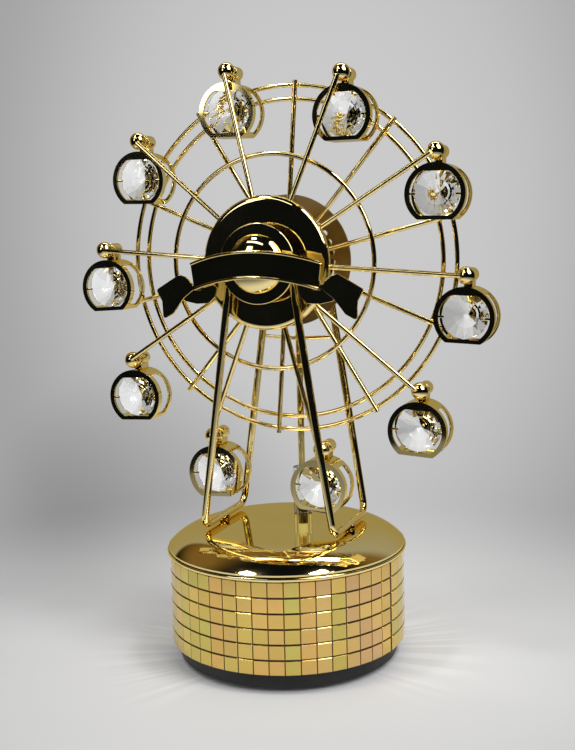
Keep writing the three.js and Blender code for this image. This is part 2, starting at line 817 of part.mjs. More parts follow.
function banner() {
  const half = bannerHeight / 2;
  const rimEnds = [half - bannerRimWidth, half + bannerRimProud];
  const rim = [bannerRimDepth, bannerThickness / 2, bannerRimReachShare];
  const pieces = [
    bannerBand(-half, half, 0, bannerThickness, 1),
    bannerBand(...rimEnds, ...rim),
    bannerBand(-rimEnds[1], -rimEnds[0], ...rim),
  ];
  const endBottom = -bannerSag - half;
  const inEnd = bannerPlaneAt(1) + bannerThickness / 2;
  const postFront = bannerPlaneAt(bannerPostSpan / bannerHalfWidth) + bannerThickness / 2;
  for (const side of [-1, 1]) {
    pieces.push(bannerPlate(tailShares, side, tailPlane));
    pieces.push(bannerPlate(foldShares, side, foldPlane));
    pieces.push(boxBeside(
      side, bannerHalfWidth - bannerTaper - bannerWebWidth, bannerHalfWidth - bannerTaper,
      [inEnd, endBottom], [-foldPlane, endBottom + bannerWebHeight],
    ));
    const post = turnedAlongY(barProfile(bannerPostRadius, postFront, -plateOutside - seatGap), smallSides);
    pieces.push(post.translate(side * bannerPostSpan, 0, 0));
  }
  return join(...pieces);
}

// Drive to the wheel, measured from the drive rod's axis
function drivePinion() {
  const ends = [pinionZ - pinionThickness / 2, pinionZ + pinionThickness / 2];
  const body = turnedAlongZ(ringProfile(driveRodRadius + seatGap, pinionBodyRadius, ...ends), 2 * pinionPinCount);
  const firstAngle = -90 + (driveHoleFirstAngle * driveHoleCount) / pinionPinCount;
  const pins = Array.from({ length: pinionPinCount }, (_, k) => {
    const start = new THREE.Vector3(pinionBodyRadius - pinionPinRadius, 0, pinionZ);
    const tip = new THREE.Vector3(pinionTipRadius, 0, pinionZ);
    return wire([start, tip], pinionPinRadius).rotateZ(radians(firstAngle + (k * 360) / pinionPinCount));
  });
  return join(body, ...pins);
}

function driveRod() {
  const top = pinionZ + pinionThickness / 2 + rodTopAbovePinion;
  return turnedAlongZ(barProfile(driveRodRadius, coverTop + driveRodEndAboveCover, top), smallSides);
}

function couplingSleeve() {
  const bottom = coverTop + seatGap;
  const [plugBore, rodBore] = [plugRadius + seatGap, driveRodRadius + seatGap];
  return turnedAlongZ([
    [plugBore, bottom],
    [sleeveRadius, bottom],
    [sleeveRadius, bottom + sleeveHeight],
    [rodBore, bottom + sleeveHeight],
    [rodBore, bottom + plugSocketHeight],
    [plugBore, bottom + plugSocketHeight],
    [plugBore, bottom],
  ], turnedSides);
}

function takeoffArbor() {
  const plugBottom = coverTop + seatGap;
  const arbor = turnedAlongZ([
    [0, barrelBottom],
    [takeoffArborRadius, barrelBottom],
    [takeoffArborRadius, plugBottom],
    [plugRadius, plugBottom],
    [plugRadius, plugBottom + plugHeight],
    [0, plugBottom + plugHeight],
  ], smallSides);
  const gear = toothedWheel(takeoffTeeth, takeoffGearRadius, toothDepth, gearWidth, takeoffArborRadius / 2);
  return join(arbor, gear.translate(0, 0, barrelBottom));
}

function shaftGuide() {
  const height = coverTop + guideAboveCover;
  const end = legHalfSpanAt(height) - legRodRadius - seatGap;
  const eye = driveRodRadius + runGap + guideWireRadius;
  const loop = new THREE.TorusGeometry(eye, guideWireRadius, wireSides, smallSides);
  const arms = [-1, 1].map((side) => wire([
    new THREE.Vector3(side * end, legPlane, height),
    new THREE.Vector3(side * eye, driveRodPlane, height - guideDip),
  ], guideWireRadius));
  return join(loop.translate(0, driveRodPlane, height - guideDip), ...arms);
}

// Movement
function bedplate() {
  const plate = boxBetween(
    [-bedplateStart, -bedplateHalfDepth, bedplateHeight],
    [bedplateEnd, bedplateHalfDepth, bedplateTop],
  );
  const lugs = Array.from({ length: postCount }, (_, k) => boxBetween(
    [0, -postRadius, bedplateHeight],
    [postCircleRadius + postRadius, postRadius, bedplateTop],
  ).rotateZ(radians(postAngle(k))));
  const keyHole = turnedAlongZ(barProfile(keyShaftRadius + runGap, 0, bedplateTop + overrun), smallSides);
  const combSeat = boxBetween(
    [cylinderStart, -combBack, bedplateHeight],
    [cylinderEnd, -combBack + combRoot, cylinderZ - combThickness / 2 - seatGap],
  );
  const armZ = bedplateTop + runGap + fanHeight + 2 * runGap;
  const armTop = armZ + bracketThickness;
  const [armFront, armBack] = [governorY - governorArmWidth / 2, governorY + governorArmWidth / 2];
  const governorPost = boxBetween(
    [governorX + fanHalfWidth + runGap, armFront, bedplateHeight],
    [governorX + governorArmLength, armBack, armTop],
  );
  const governorArm = boxBetween(
    [governorX - spindleRadius, armFront, armZ],
    [governorX + governorArmLength, armBack, armTop],
  );
  return cut(join(plate, ...lugs, combSeat, governorPost, governorArm), keyHole);
}

function cylinderBracket() {
  const top = cylinderZ + bracketHeadHeight;
  const headBottom = cylinderZ - bracketHeadHeight;
  const spineFront = cylinderRadius + 2 * runGap;
  const spineBack = spineFront + bracketPostWidth;
  const low = bedplateTop + seatGap;
  const cheek = (x, front, back, bottom) => boxBetween([x, front, bottom], [x + bracketThickness, back, top]);
  const frame = join(
    cheek(bracketInner, -bracketHalfWidth, bracketHalfWidth, headBottom),
    cheek(bracketInner, -bracketHalfWidth, -bracketHalfWidth + bracketPostWidth, low),
    cheek(bracketInner, bracketHalfWidth - bracketPostWidth, bracketHalfWidth, low),
    cheek(bracketOuter, -bracketPostWidth, spineBack, headBottom),
    cheek(bracketOuter, spineFront, spineBack, low),
    boxBetween(
      [bracketInner, spineFront, top - bracketThickness],
      [bracketOuter + bracketThickness, spineBack, top],
    ),
  );
  const ends = [bracketInner - overrun, bracketOuter + bracketThickness + overrun];
  const bore = turnedAlongX(barProfile(cylinderAxleRadius + runGap, ...ends), smallSides);
  return cut(frame, bore.translate(0, 0, cylinderZ));
}

function springBarrel() {
  const bore = keyShaftRadius + runGap;
  const cup = turnedAlongZ([
    [bore, barrelBottom],
    [barrelRadius, barrelBottom],
    [barrelRadius, barrelTop],
    [barrelRadius - barrelWall, barrelTop],
    [barrelRadius - barrelWall, barrelBottom + barrelWall],
    [bore, barrelBottom + barrelWall],
    [bore, barrelBottom],
  ], 2 * turnedSides);
  const gear = toothedWheel(barrelTeeth, barrelGearRadius, toothDepth, gearWidth, barrelRadius - barrelWall);
  return join(cup, gear.translate(0, 0, barrelBottom));
}

function mainspring() {
  const low = barrelBottom + barrelWall + seatGap;
  const high = barrelTop - seatGap;
  const inner = keyShaftRadius + seatGap;
  const outer = barrelRadius - barrelWall - seatGap - springThickness;
  const steps = springTurns * springStepsPerTurn;
  const rings = Array.from({ length: steps + 1 }, (_, k) => {
    const angle = (k / springStepsPerTurn) * 2 * Math.PI;
    const start = inner + (outer - inner) * (k / steps);
    const end = start + springThickness;
    return [[start, low], [end, low], [end, high], [start, high]].map(([radius, height]) => (
      new THREE.Vector3(radius * Math.cos(angle), radius * Math.sin(angle), height)
    ));
  });
  return loft(rings);
}

function windingKey() {
  const ends = [keyBottom + keyWingHeight / 2, barrelTop - runGap];
  const shaft = turnedAlongZ(barProfile(keyShaftRadius, ...ends), smallSides);
  const corner = keyHalfWidth * keyCornerShare;
  const shoulder = keyBottom + keyWingHeight * keyCornerShare;
  const wing = new THREE.Shape([
    [-keyHalfWidth, keyBottom],
    [keyHalfWidth, keyBottom],
    [keyHalfWidth, shoulder],
    [corner, keyBottom + keyWingHeight],
    [-corner, keyBottom + keyWingHeight],
    [-keyHalfWidth, shoulder],
  ].map(([x, z]) => new THREE.Vector2(x, z)));
  return join(shaft, plateFacingFront(wing, -keyWingThickness / 2, keyWingThickness, 1));
}

function pinnedCylinder() {
  const drum = turnedAlongX(barProfile(cylinderRadius, cylinderStart, cylinderEnd), turnedSides);
  const ends = [bracketInner, bracketOuter + bracketThickness];
  const arbor = turnedAlongX(barProfile(cylinderAxleRadius, ...ends), smallSides);
  const gear = toothedWheel(
    cylinderTeeth, cylinderGearRadius, toothDepth, cylinderGearWidth, cylinderAxleRadius / 2);
  return join(drum, arbor, gear.rotateY(Math.PI / 2).translate(cylinderGearStart, 0, 0));
}

function toneComb() {
  const pitch = cylinderLength / combTeeth;
  const plate = boxBetween(
    [cylinderStart, -combBack, cylinderZ - combThickness / 2],
    [cylinderEnd, -combFront, cylinderZ + combThickness / 2],
  );
  const slots = Array.from({ length: combTeeth - 1 }, (_, k) => {
    const middle = cylinderStart + (k + 1) * pitch;
    const half = (pitch * combSlotShare) / 2;
    return boxBetween(
      [middle - half, -combBack + combRoot, cylinderZ - combThickness],
      [middle + half, -combFront + overrun, cylinderZ + combThickness],
    );
  });
  return cut(plate, ...slots);
}

function governorFan() {
  const low = bedplateTop + runGap;
  const blade = boxBetween([-fanHalfWidth, -fanThickness / 2, low], [fanHalfWidth, fanThickness / 2, low + fanHeight]);
  const spindle = turnedAlongZ(barProfile(spindleRadius, low, low + fanHeight + runGap), smallSides);
  return join(blade, spindle);
}

// Assembly
const toy = new THREE.Group();
const { gold, satinGold, tile, clearPlastic, blackPlastic, rubber, steel, brass } = finishes;

for (let k = 0; k < footCount; k += 1) toy.add(meshNamed(`foot_${k + 1}`, foot(k), rubber));
toy.add(meshNamed('bottom_plate', bottomPlate(), blackPlastic));
toy.add(meshNamed('base_drum', turnedAlongZ(
  ringProfile(drumRadius - drumWall, drumRadius, bandBottom, bandTop), bandSides), blackPlastic));
toy.add(meshNamed('mirror_tile_band', turnedAlongZ(
  ringProfile(bandRadius - bandThickness, bandRadius, bandBottom, bandTop), bandSides), tile));
toy.add(meshNamed('cover_trim_ring', turnedAlongZ(
  ringProfile(trimRadius - trimWidth, trimRadius, trimBottom, trimTop), bandSides), gold));
toy.add(meshNamed('top_cover', topCover(), gold));
toy.add(meshNamed('left_leg_frame', legFrame(-1), gold));
toy.add(meshNamed('right_leg_frame', legFrame(1), gold));
toy.add(meshNamed('leg_nut_left', legNut(-1), brass));
toy.add(meshNamed('leg_nut_right', legNut(1), brass));

const hub = new THREE.Group();
hub.position.z = hubZ;
toy.add(hub);
hub.add(meshNamed('front_bearing_plate', bearingPlate(-1), gold));
hub.add(meshNamed('dome_cap', domeCap(), gold));
hub.add(meshNamed('rear_bearing_plate', rearBearingPlate(), gold));
hub.add(meshNamed('axle', axle(), steel));
hub.add(meshNamed('axle_spacer_front', spacer(seatGap - plateInside, -frontDiscFace - runGap), gold));
hub.add(meshNamed('axle_spacer_rear', spacer(rearDiscBack + runGap, plateInside - seatGap), gold));
hub.add(meshNamed('banner', banner(), gold));
hub.add(meshNamed('front_disc', frontDisc(), gold));
hub.add(meshNamed('wheel_hub', wheelHub(), gold));
hub.add(meshNamed('front_spoke_frame', frontSpokeFrame(), gold));
const innerRingPlane = frontSpokePlaneAt(innerRingRadius) + spokeRadius + seatGap + ringWireRadius;
hub.add(meshNamed('inner_ring', wheelRing(innerRingRadius, innerRingPlane), gold));
hub.add(meshNamed('rear_spoke_frame', rearSpokeFrame(), gold));
hub.add(meshNamed('second_ring', wheelRing(secondRingRadius, rearRingPlane), gold));
hub.add(meshNamed('outer_ring', wheelRing(outerRingRadius, rearRingPlane), gold));
hub.add(meshNamed('rear_disc', rearDisc(), satinGold));

const frameSolid = gondolaFrame();
const crystalSolid = solid(crystal());
for (let k = 0; k < spokeCount; k += 1) {
  const gondola = new THREE.Group();
  gondola.position.copy(atRadius(pinCircleRadius, pinAngle(k), 0));
  gondola.rotation.y = -radians(gondolaLeans[k]);
  const label = String(k + 1).padStart(2, '0');
  gondola.add(meshNamed(`gondola_${label}_frame`, frameSolid, gold));
  gondola.add(meshNamed(`gondola_${label}_crystal`, crystalSolid, finishes.crystal));
  hub.add(gondola);
}

const drive = new THREE.Group();
drive.position.y = driveRodPlane;
toy.add(drive);
drive.add(meshNamed('drive_pinion', drivePinion(), brass));
drive.add(meshNamed('drive_rod', driveRod(), gold));
drive.add(meshNamed('coupling_sleeve', couplingSleeve(), clearPlastic));
drive.add(meshNamed('takeoff_arbor', takeoffArbor(), steel));
toy.add(meshNamed('shaft_guide', shaftGuide(), gold));

toy.add(meshNamed('movement_bedplate', bedplate(), brass));
toy.add(meshNamed('cylinder_bracket', cylinderBracket(), brass));
toy.add(meshNamed('spring_barrel', springBarrel(), brass));
toy.add(meshNamed('mainspring', mainspring(), steel));
toy.add(meshNamed('winding_key', windingKey(), brass));
const cylinder = meshNamed('pinned_cylinder', pinnedCylinder(), brass);
cylinder.position.z = cylinderZ;
toy.add(cylinder);
toy.add(meshNamed('tone_comb', toneComb(), steel));
const fan = meshNamed('governor_fan', governorFan(), brass);
fan.position.set(governorX, governorY, 0);
toy.add(fan);

export default toy;
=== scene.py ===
# %% [markdown]
# A wind-up musical ferris wheel, about 20 cm tall. Ten crystal gondolas hang on a gold-plated wheel, which
# turns between two bent-rod frames on a drum faced with mirror mosaic. The frame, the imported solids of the
# toy, comes first: every piece below is modelled round it, takes its place and size from it, and moves
# with one of its bodies.

# %% Load the frame
from math import asin, cos, pi, radians, sin, tan

import bmesh
import bpy
from mathutils import Matrix, Vector


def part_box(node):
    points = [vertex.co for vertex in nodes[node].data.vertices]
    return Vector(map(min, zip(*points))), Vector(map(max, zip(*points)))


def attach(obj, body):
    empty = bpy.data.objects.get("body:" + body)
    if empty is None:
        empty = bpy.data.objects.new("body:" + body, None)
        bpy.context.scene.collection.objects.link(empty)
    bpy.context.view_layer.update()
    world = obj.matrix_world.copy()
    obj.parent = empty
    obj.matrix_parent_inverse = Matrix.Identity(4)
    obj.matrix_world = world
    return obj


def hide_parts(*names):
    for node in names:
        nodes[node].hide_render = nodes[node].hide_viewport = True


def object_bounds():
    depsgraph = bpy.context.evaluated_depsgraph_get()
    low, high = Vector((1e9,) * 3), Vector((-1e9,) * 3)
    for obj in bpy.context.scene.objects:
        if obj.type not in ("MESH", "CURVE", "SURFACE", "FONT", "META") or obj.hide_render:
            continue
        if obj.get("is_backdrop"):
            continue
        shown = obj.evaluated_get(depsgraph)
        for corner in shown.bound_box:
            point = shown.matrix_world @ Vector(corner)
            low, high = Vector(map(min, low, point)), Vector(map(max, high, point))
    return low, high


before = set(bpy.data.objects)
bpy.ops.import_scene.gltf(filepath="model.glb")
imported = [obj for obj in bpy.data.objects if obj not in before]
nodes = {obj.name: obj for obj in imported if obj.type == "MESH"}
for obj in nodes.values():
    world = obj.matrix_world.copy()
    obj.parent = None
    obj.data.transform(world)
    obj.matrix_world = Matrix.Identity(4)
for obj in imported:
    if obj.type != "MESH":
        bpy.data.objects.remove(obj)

mm = 0.001
cad_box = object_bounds()

# %% [markdown]
# The camera stands to the right of the banner and a little above the hub, as a photographer would hold it.
# Its place is given by angles round the toy and a distance, which is easier to read and to change than a
# bare point. The lens follows from the focal length in pixels, so that the picture keeps its proportions.

# %% Camera
VIEW_AZIMUTH = 21.79
VIEW_ELEVATION = 7.76
VIEW_ROLL = radians(-1.51)
VIEW_YAW = radians(0.27)
VIEW_DISTANCE = 373.41 * mm
VIEW_HEIGHT = 95.83 * mm
PICTURE_HEIGHT = 750
FOCAL_PIXELS = 1110.24
SENSOR = 36


def direction_at(azimuth, elevation):
    """The direction at an azimuth from the front and an elevation, in degrees."""
    around, above = radians(azimuth), radians(elevation)
    return Vector((sin(around) * cos(above), -cos(around) * cos(above), sin(above)))


def new_object(name, data):
    obj = bpy.data.objects.new(name, data)
    bpy.context.scene.collection.objects.link(obj)
    return obj


view_back = direction_at(VIEW_AZIMUTH, VIEW_ELEVATION)
view_right = Vector((cos(radians(VIEW_AZIMUTH)), sin(radians(VIEW_AZIMUTH)), 0))
view_place = Vector((0, 0, VIEW_HEIGHT)) + view_back * VIEW_DISTANCE
view_turn = Matrix((view_right, view_back.cross(view_right), view_back)).transposed()
view_turn = view_turn @ Matrix.Rotation(-VIEW_YAW, 3, "Y") @ Matrix.Rotation(VIEW_ROLL, 3, "Z")
camera_data = bpy.data.cameras.new("camera")
camera_data.sensor_width = SENSOR
camera_data.lens = FOCAL_PIXELS * SENSOR / PICTURE_HEIGHT
camera_data.clip_start = 10 * mm
camera = new_object("camera", camera_data)
camera.matrix_world = Matrix.Translation(view_place) @ view_turn.to_4x4()
bpy.context.scene.camera = camera
print("lens", round(camera_data.lens, 2), "mm")

# %% [markdown]
# Nodes are written in code all through this file, for materials and for geometry. One small helper adds a
# node, sets its properties and fills its sockets, with plain values or with links. The others name the few
# kinds of node that come up again and again, so that each network is as short as its drawing.


# %% Node helpers
def empty_tree(owner):
    owner.use_nodes = True
    owner.node_tree.nodes.clear()
    return owner.node_tree


def put(tree, kind, sockets=None, **settings):
    node = tree.nodes.new(kind)
    for name, value in settings.items():
        setattr(node, name, value)
    for key, value in (sockets or {}).items():
        if isinstance(value, bpy.types.NodeSocket):
            tree.links.new(value, node.inputs[key])
        else:
            node.inputs[key].default_value = value
    return node


def made(tree, kind, sockets=None, **settings):
    """The first output of a new node."""
    return put(tree, kind, sockets, **settings).outputs[0]


def maths(tree, operation, *values):
    return made(tree, "ShaderNodeMath", dict(enumerate(values)), operation=operation)


def times(tree, first, second):
    return maths(tree, "MULTIPLY", first, second)


def vector_maths(tree, operation, *values):
    node = put(tree, "ShaderNodeVectorMath", dict(enumerate(values)), operation=operation)
    return node.outputs["Value" if operation in ("DOT_PRODUCT", "LENGTH") else "Vector"]


def dot(tree, first, second):
    return vector_maths(tree, "DOT_PRODUCT", first, second)


def ramp(tree, value, start, end, low=0.0, high=1.0):
    """A smooth step from low, where the value is at its start, to high, where it is at its end."""
    sockets = dict(enumerate((value, start, end, low, high)))
    return made(tree, "ShaderNodeMapRange", sockets, interpolation_type="SMOOTHSTEP")


def mix_colour(tree, share, first, second):
    sockets = {"Factor": share, 6: first, 7: second}
    return put(tree, "ShaderNodeMix", sockets, data_type="RGBA").outputs[2]


def grey(level):
    return (level, level, level, 1)


def node_group(name, kind, inputs, outputs):
    """A new group with its sockets, listed by kind, and the sockets through which its inputs arrive."""
    group = bpy.data.node_groups.new(name, kind + "NodeTree")
    for in_out, sockets in (("INPUT", inputs), ("OUTPUT", outputs)):
        for socket, labels in sockets.items():
            for label in labels:
                group.interface.new_socket(label, in_out=in_out, socket_type="NodeSocket" + socket)
    return group, group.nodes.new("NodeGroupInput").outputs


print("a middle grey is", grey(0.5))


# %% [markdown]
# The studio is a pale backdrop behind the toy and a dark room in front of it. Polished gold has no colour
# of its own to show: it shows the room. So Light Path sets apart three surroundings. The camera sees pale
# grey in every direction, with a painted pool of light in the middle and a painted shadow low to its left.
# Mirrors see the pale backdrop behind the toy, the dark room in front, and a warm patch overhead. Glass
# sees the bright middle of the backdrop, and round it a warm colour, a painted reflection of the gold cage
# walls. One node group holds them all, because the world and the floor's far part both need them.

# %% World
BACKDROP_CENTRE = 0.59
BACKDROP_SIDE = 0.37
BACKDROP_MIRRORED = 0.36
BACKDROP_THROUGH = 0.86
SIDE_THROUGH = 0.42
ROOM_MIRRORED = (0.003, 0.004, 0.006, 1)
CEILING_MIRRORED = (0.19, 0.12, 0.04, 1)
# What glass sees in front: a painted reflection of the gold cage walls, warm where the room is dark.
CAGE_REFLECTION_THROUGH = (0.34, 0.29, 0.17, 1)
AMBIENT = 0.35
# The glow values paint a pool of light in the middle of the backdrop.
GLOW_START = cos(radians(18))
GLOW_TURN = radians(-2.2)
FLATNESS = 0.7
# The shade values paint a shadow low and to the left of the middle.
SHADE_START = 0.987
SHADE_TURN = radians(6.8)
SHADE_DROP = 0.27
SHADE_DEPTH = 0.11
BEHIND = (0.35, 0.6)
WELL_BEHIND = (0.8, 0.98)
BACKDROP_TOP = (0.72, 0.64)
BACKDROP_SLOPE = 0.6
CEILING_START = (0.3, 0.6)
CEILING_END = (0.98, 0.72)
CEILING_BEHIND = (-0.1, 0.35)
Z_AXIS = (0, 0, 1)
backdrop_direction = Vector((-view_back.x, -view_back.y, 0)).normalized()
side_direction = backdrop_direction.cross(Vector(Z_AXIS))
glow_direction = Matrix.Rotation(GLOW_TURN, 3, "Z") @ backdrop_direction
shade_direction = Matrix.Rotation(SHADE_TURN, 3, "Z") @ backdrop_direction
shade_direction = (shade_direction - SHADE_DROP * Vector(Z_AXIS)).normalized()


def surround_group():
    colours = {"Color": ["Seen", "Mirrored", "Through"]}
    group, source = node_group("surround", "Shader", {"Vector": ["Direction"]}, colours)
    direction = vector_maths(group, "NORMALIZE", source["Direction"])
    flattened = vector_maths(group, "MULTIPLY", source["Direction"], (1, 1, FLATNESS))
    centred = dot(group, vector_maths(group, "NORMALIZE", flattened), glow_direction)
    # Painted pool of light.
    glow = ramp(group, centred, GLOW_START, 1.0)
    level = maths(group, "MULTIPLY_ADD", glow, BACKDROP_CENTRE - BACKDROP_SIDE, BACKDROP_SIDE)
    # Painted shadow.
    shade = ramp(group, dot(group, direction, shade_direction), SHADE_START, 1.0)
    towards = dot(group, direction, backdrop_direction)
    behind = ramp(group, towards, *BEHIND)
    height = dot(group, direction, Z_AXIS)
    lowered = maths(group, "MULTIPLY_ADD", dot(group, direction, side_direction), -BACKDROP_SLOPE, height)
    pale = times(group, behind, ramp(group, lowered, *BACKDROP_TOP))
    overhead = times(group, ramp(group, height, *CEILING_START), ramp(group, height, *CEILING_END))
    warmth = times(group, overhead, ramp(group, towards, *CEILING_BEHIND))
    room = mix_colour(group, warmth, ROOM_MIRRORED, CEILING_MIRRORED)
    middle = ramp(group, towards, *WELL_BEHIND)
    clear = mix_colour(group, middle, grey(SIDE_THROUGH), grey(BACKDROP_THROUGH))
    put(group, "NodeGroupOutput", {
        "Seen": maths(group, "MULTIPLY_ADD", shade, -SHADE_DEPTH, level),
        "Mirrored": mix_colour(group, pale, room, grey(BACKDROP_MIRRORED)),
        "Through": mix_colour(group, behind, CAGE_REFLECTION_THROUGH, clear),
    })
    return group


surround = surround_group()


def surround_colours(tree, direction):
    colours = put(tree, "ShaderNodeGroup", {"Direction": direction}, node_tree=surround).outputs
    path = put(tree, "ShaderNodeLightPath").outputs
    unseen = mix_colour(tree, path["Is Glossy Ray"], grey(AMBIENT), colours["Mirrored"])
    through = mix_colour(tree, path["Is Transmission Ray"], unseen, colours["Through"])
    return mix_colour(tree, path["Is Camera Ray"], through, colours["Seen"])


world = bpy.data.worlds.new("studio")
bpy.context.scene.world = world
world_tree = empty_tree(world)
sky_colour = surround_colours(world_tree, put(world_tree, "ShaderNodeTexCoord").outputs["Generated"])
sky = made(world_tree, "ShaderNodeBackground", {"Color": sky_colour, "Strength": 1.0})
put(world_tree, "ShaderNodeOutputWorld", {"Surface": sky})
bpy.context.scene.view_settings.view_transform = "Standard"
print("backdrop", BACKDROP_CENTRE, "mirrored", BACKDROP_MIRRORED)

# %% [markdown]
# The floor is matt near the toy, where it takes the shadow, and farther out it glows in the backdrop's own
# colour, so that no horizon shows. To mirrors it is a table top that gets dimmer with distance and stops
# at an edge, with the dark room beyond. That edge makes the upright gold faces read black, and lets the
# lowest gondolas turn gold from below. A plain grey plane would make all of them a flat gold.

# %% Floor
FLOOR_RADIUS = 4.0
FLOOR_COLOUR = 0.66
FLOOR_FADE = (10 * mm, 240 * mm)
TABLE_TURN = -48
TABLE_EDGE = (257 * mm, 293 * mm)
TABLE_END = (328 * mm, 410 * mm)
TABLE_DIMMING = (102.5 * mm, 266.5 * mm)
TABLE_DIMNESS = 0.72
# The ray values paint rays of light into the floor's colour beside the drum.
RAY_COLOUR = 0.74
RAY_FADE = (74 * mm, 46 * mm)
RAY_SIDES = (0.5, 0.9)
RAY_CONTRAST = (0.42, 0.62)
RAYS_PER_RADIAN = 9
table_direction = direction_at(TABLE_TURN, 0)


def painted_floor_rays(tree, place, distance):
    """Faint painted rays of light beside the drum, in place of the light that its mirror tiles throw on the
    floor.
    """
    parts = put(tree, "ShaderNodeSeparateXYZ", {0: place}).outputs
    angle = maths(tree, "ARCTAN2", parts["X"], times(tree, parts["Y"], -1))
    values = {"W": times(tree, angle, RAYS_PER_RADIAN), "Scale": 1.0, "Detail": 1.0}
    streaks = made(tree, "ShaderNodeTexNoise", values, noise_dimensions="1D")
    sideways = dot(tree, vector_maths(tree, "NORMALIZE", place), side_direction)
    beside = ramp(tree, maths(tree, "ABSOLUTE", sideways), *RAY_SIDES)
    rays = times(tree, ramp(tree, streaks, *RAY_CONTRAST), beside)
    return times(tree, rays, ramp(tree, distance, *RAY_FADE))


def floor_material():
    material = bpy.data.materials.new("studio_floor")
    tree = empty_tree(material)
    path = put(tree, "ShaderNodeLightPath").outputs
    place = put(tree, "ShaderNodeTexCoord").outputs["Object"]
    distance = vector_maths(tree, "LENGTH", place)
    past_edge = ramp(tree, dot(tree, place, table_direction), *TABLE_EDGE)
    past_end = ramp(tree, distance, *TABLE_END)
    dimming = times(tree, ramp(tree, distance, *TABLE_DIMMING), TABLE_DIMNESS)
    seen_fade = ramp(tree, distance, *FLOOR_FADE)
    mirror_fade = maths(tree, "MAXIMUM", maths(tree, "MAXIMUM", past_edge, past_end), dimming)
    fade = made(tree, "ShaderNodeMix", {0: path["Is Glossy Ray"], 2: seen_fade, 3: mirror_fade})
    rays = painted_floor_rays(tree, place, distance)
    # The floor's colour carries the painted rays of light.
    colour = mix_colour(tree, rays, grey(FLOOR_COLOUR), grey(RAY_COLOUR))
    matt = made(tree, "ShaderNodeBsdfDiffuse", {"Color": colour})
    # Seen colours depend on the direction from the camera, all others on the direction from the toy.
    scaled = {0: tuple(camera.location), "Scale": path["Is Camera Ray"]}
    viewpoint = made(tree, "ShaderNodeVectorMath", scaled, operation="SCALE")
    direction = vector_maths(tree, "SUBTRACT", place, viewpoint)
    glow = made(tree, "ShaderNodeEmission", {"Color": surround_colours(tree, direction), "Strength": 1.0})
    put(tree, "ShaderNodeOutputMaterial", {
        "Surface": made(tree, "ShaderNodeMixShader", {0: fade, 1: matt, 2: glow}),
    })
    return material


floor_mesh = bmesh.new()
bmesh.ops.create_circle(floor_mesh, cap_ends=True, segments=128, radius=FLOOR_RADIUS)
floor_data = bpy.data.meshes.new("studio_floor")
floor_mesh.to_mesh(floor_data)
floor_data.materials.append(floor_material())
new_object("studio_floor", floor_data)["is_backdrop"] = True
print("floor", FLOOR_RADIUS, "m")

# %% [markdown]
# Six soft boxes light the toy. The largest stands high on the right and makes the shadow. The others are
# small and dim, and stand where a certain surface mirrors them: the upper gondolas, the broken edges of
# the tiles, the rim of the lid and the tops of the rods. Soft boxes are chosen over bare bulbs because
# metal shows the lamp itself: a long box draws the long bright line that makes a rod look round.

# %% Lamps
LAMPS = {
    # azimuth from the front, elevation, distance, width, height and watts
    "right_box": (62, 42, 0.75, 0.42, 0.52, 3.3),
    "left_box": (-30, 22, 0.80, 0.15, 0.29, 0.4),
    "high_right": (74, 64, 0.80, 0.16, 0.09, 1.5),
    "high_left": (-42, 61, 0.80, 0.12, 0.09, 1.2),
    "front_top": (-24, 46, 0.80, 0.50, 0.07, 0.5),
    "top_strip": (190, 70, 0.70, 0.60, 0.10, 1.0),
}
for name, (azimuth, elevation, distance, width, height, watts) in LAMPS.items():
    light = bpy.data.lights.new(name, "AREA")
    light.shape = "RECTANGLE"
    light.size, light.size_y, light.energy = width, height, watts
    away = direction_at(azimuth, elevation)
    lamp = new_object(name, light)
    lamp.location = Vector((0, 0, VIEW_HEIGHT)) + away * distance
    lamp.rotation_euler = away.to_track_quat("Z", "Y").to_euler()
    lamp.visible_camera = False
print(len(LAMPS), "lamps")

# %% [markdown]
# Plated brass is never quite even. Handling leaves faint hazy patches, and polishing leaves hairlines too
# fine to see one by one. Both are small changes of roughness and height, and every finish here has them,
# so they are one node group with its own values in each material. A second group mixes two close tints in
# soft clouds.


# %% Surface groups
HAZE_EDGES = (0.42, 0.72)
HAZE_ROUGHNESS = 0.6
CLOUD_EDGES = (0.35, 0.65)


def noise(tree, scale, detail, **more):
    """A noise texture in the object's own coordinates."""
    place = put(tree, "ShaderNodeTexCoord").outputs["Object"]
    sockets = {"Vector": place, "Scale": scale, "Detail": detail, **more}
    return made(tree, "ShaderNodeTexNoise", sockets)


def handling_group():
    inputs = {"Float": ["Patch Scale", "Clean", "Hazy", "Grain Scale"]}
    group, source = node_group("handling", "Shader", inputs, {"Float": ["Roughness", "Height"]})
    patches = noise(group, source["Patch Scale"], 4.0, Roughness=HAZE_ROUGHNESS)
    haze = ramp(group, patches, *HAZE_EDGES)
    spread = maths(group, "SUBTRACT", source["Hazy"], source["Clean"])
    put(group, "NodeGroupOutput", {
        "Roughness": maths(group, "MULTIPLY_ADD", haze, spread, source["Clean"]),
        "Height": noise(group, source["Grain Scale"], 2.0),
    })
    return group


def tint_group():
    inputs = {"Color": ["First", "Second"], "Float": ["Scale"]}
    group, source = node_group("tint", "Shader", inputs, {"Color": ["Color"]})
    share = ramp(group, noise(group, source["Scale"], 3.0), *CLOUD_EDGES)
    put(group, "NodeGroupOutput", {"Color": mix_colour(group, share, source["First"], source["Second"])})
    return group


handling = handling_group()
tint = tint_group()
print("node groups", handling.name, tint.name)

# %% [markdown]
# Every material starts the same way, with a Principled shader that the two groups feed: tint gives the
# colour, handling gives roughness and relief. Three short functions hold those steps, so that each finish
# below is one line with its own numbers.

# %% Material helpers
RELIEF = 0.1 * mm


def blank_material(name, values):
    material = bpy.data.materials.new(name)
    tree = empty_tree(material)
    shader = put(tree, "ShaderNodeBsdfPrincipled", values)
    put(tree, "ShaderNodeOutputMaterial", {"Surface": shader.outputs[0]})
    return material, tree, shader


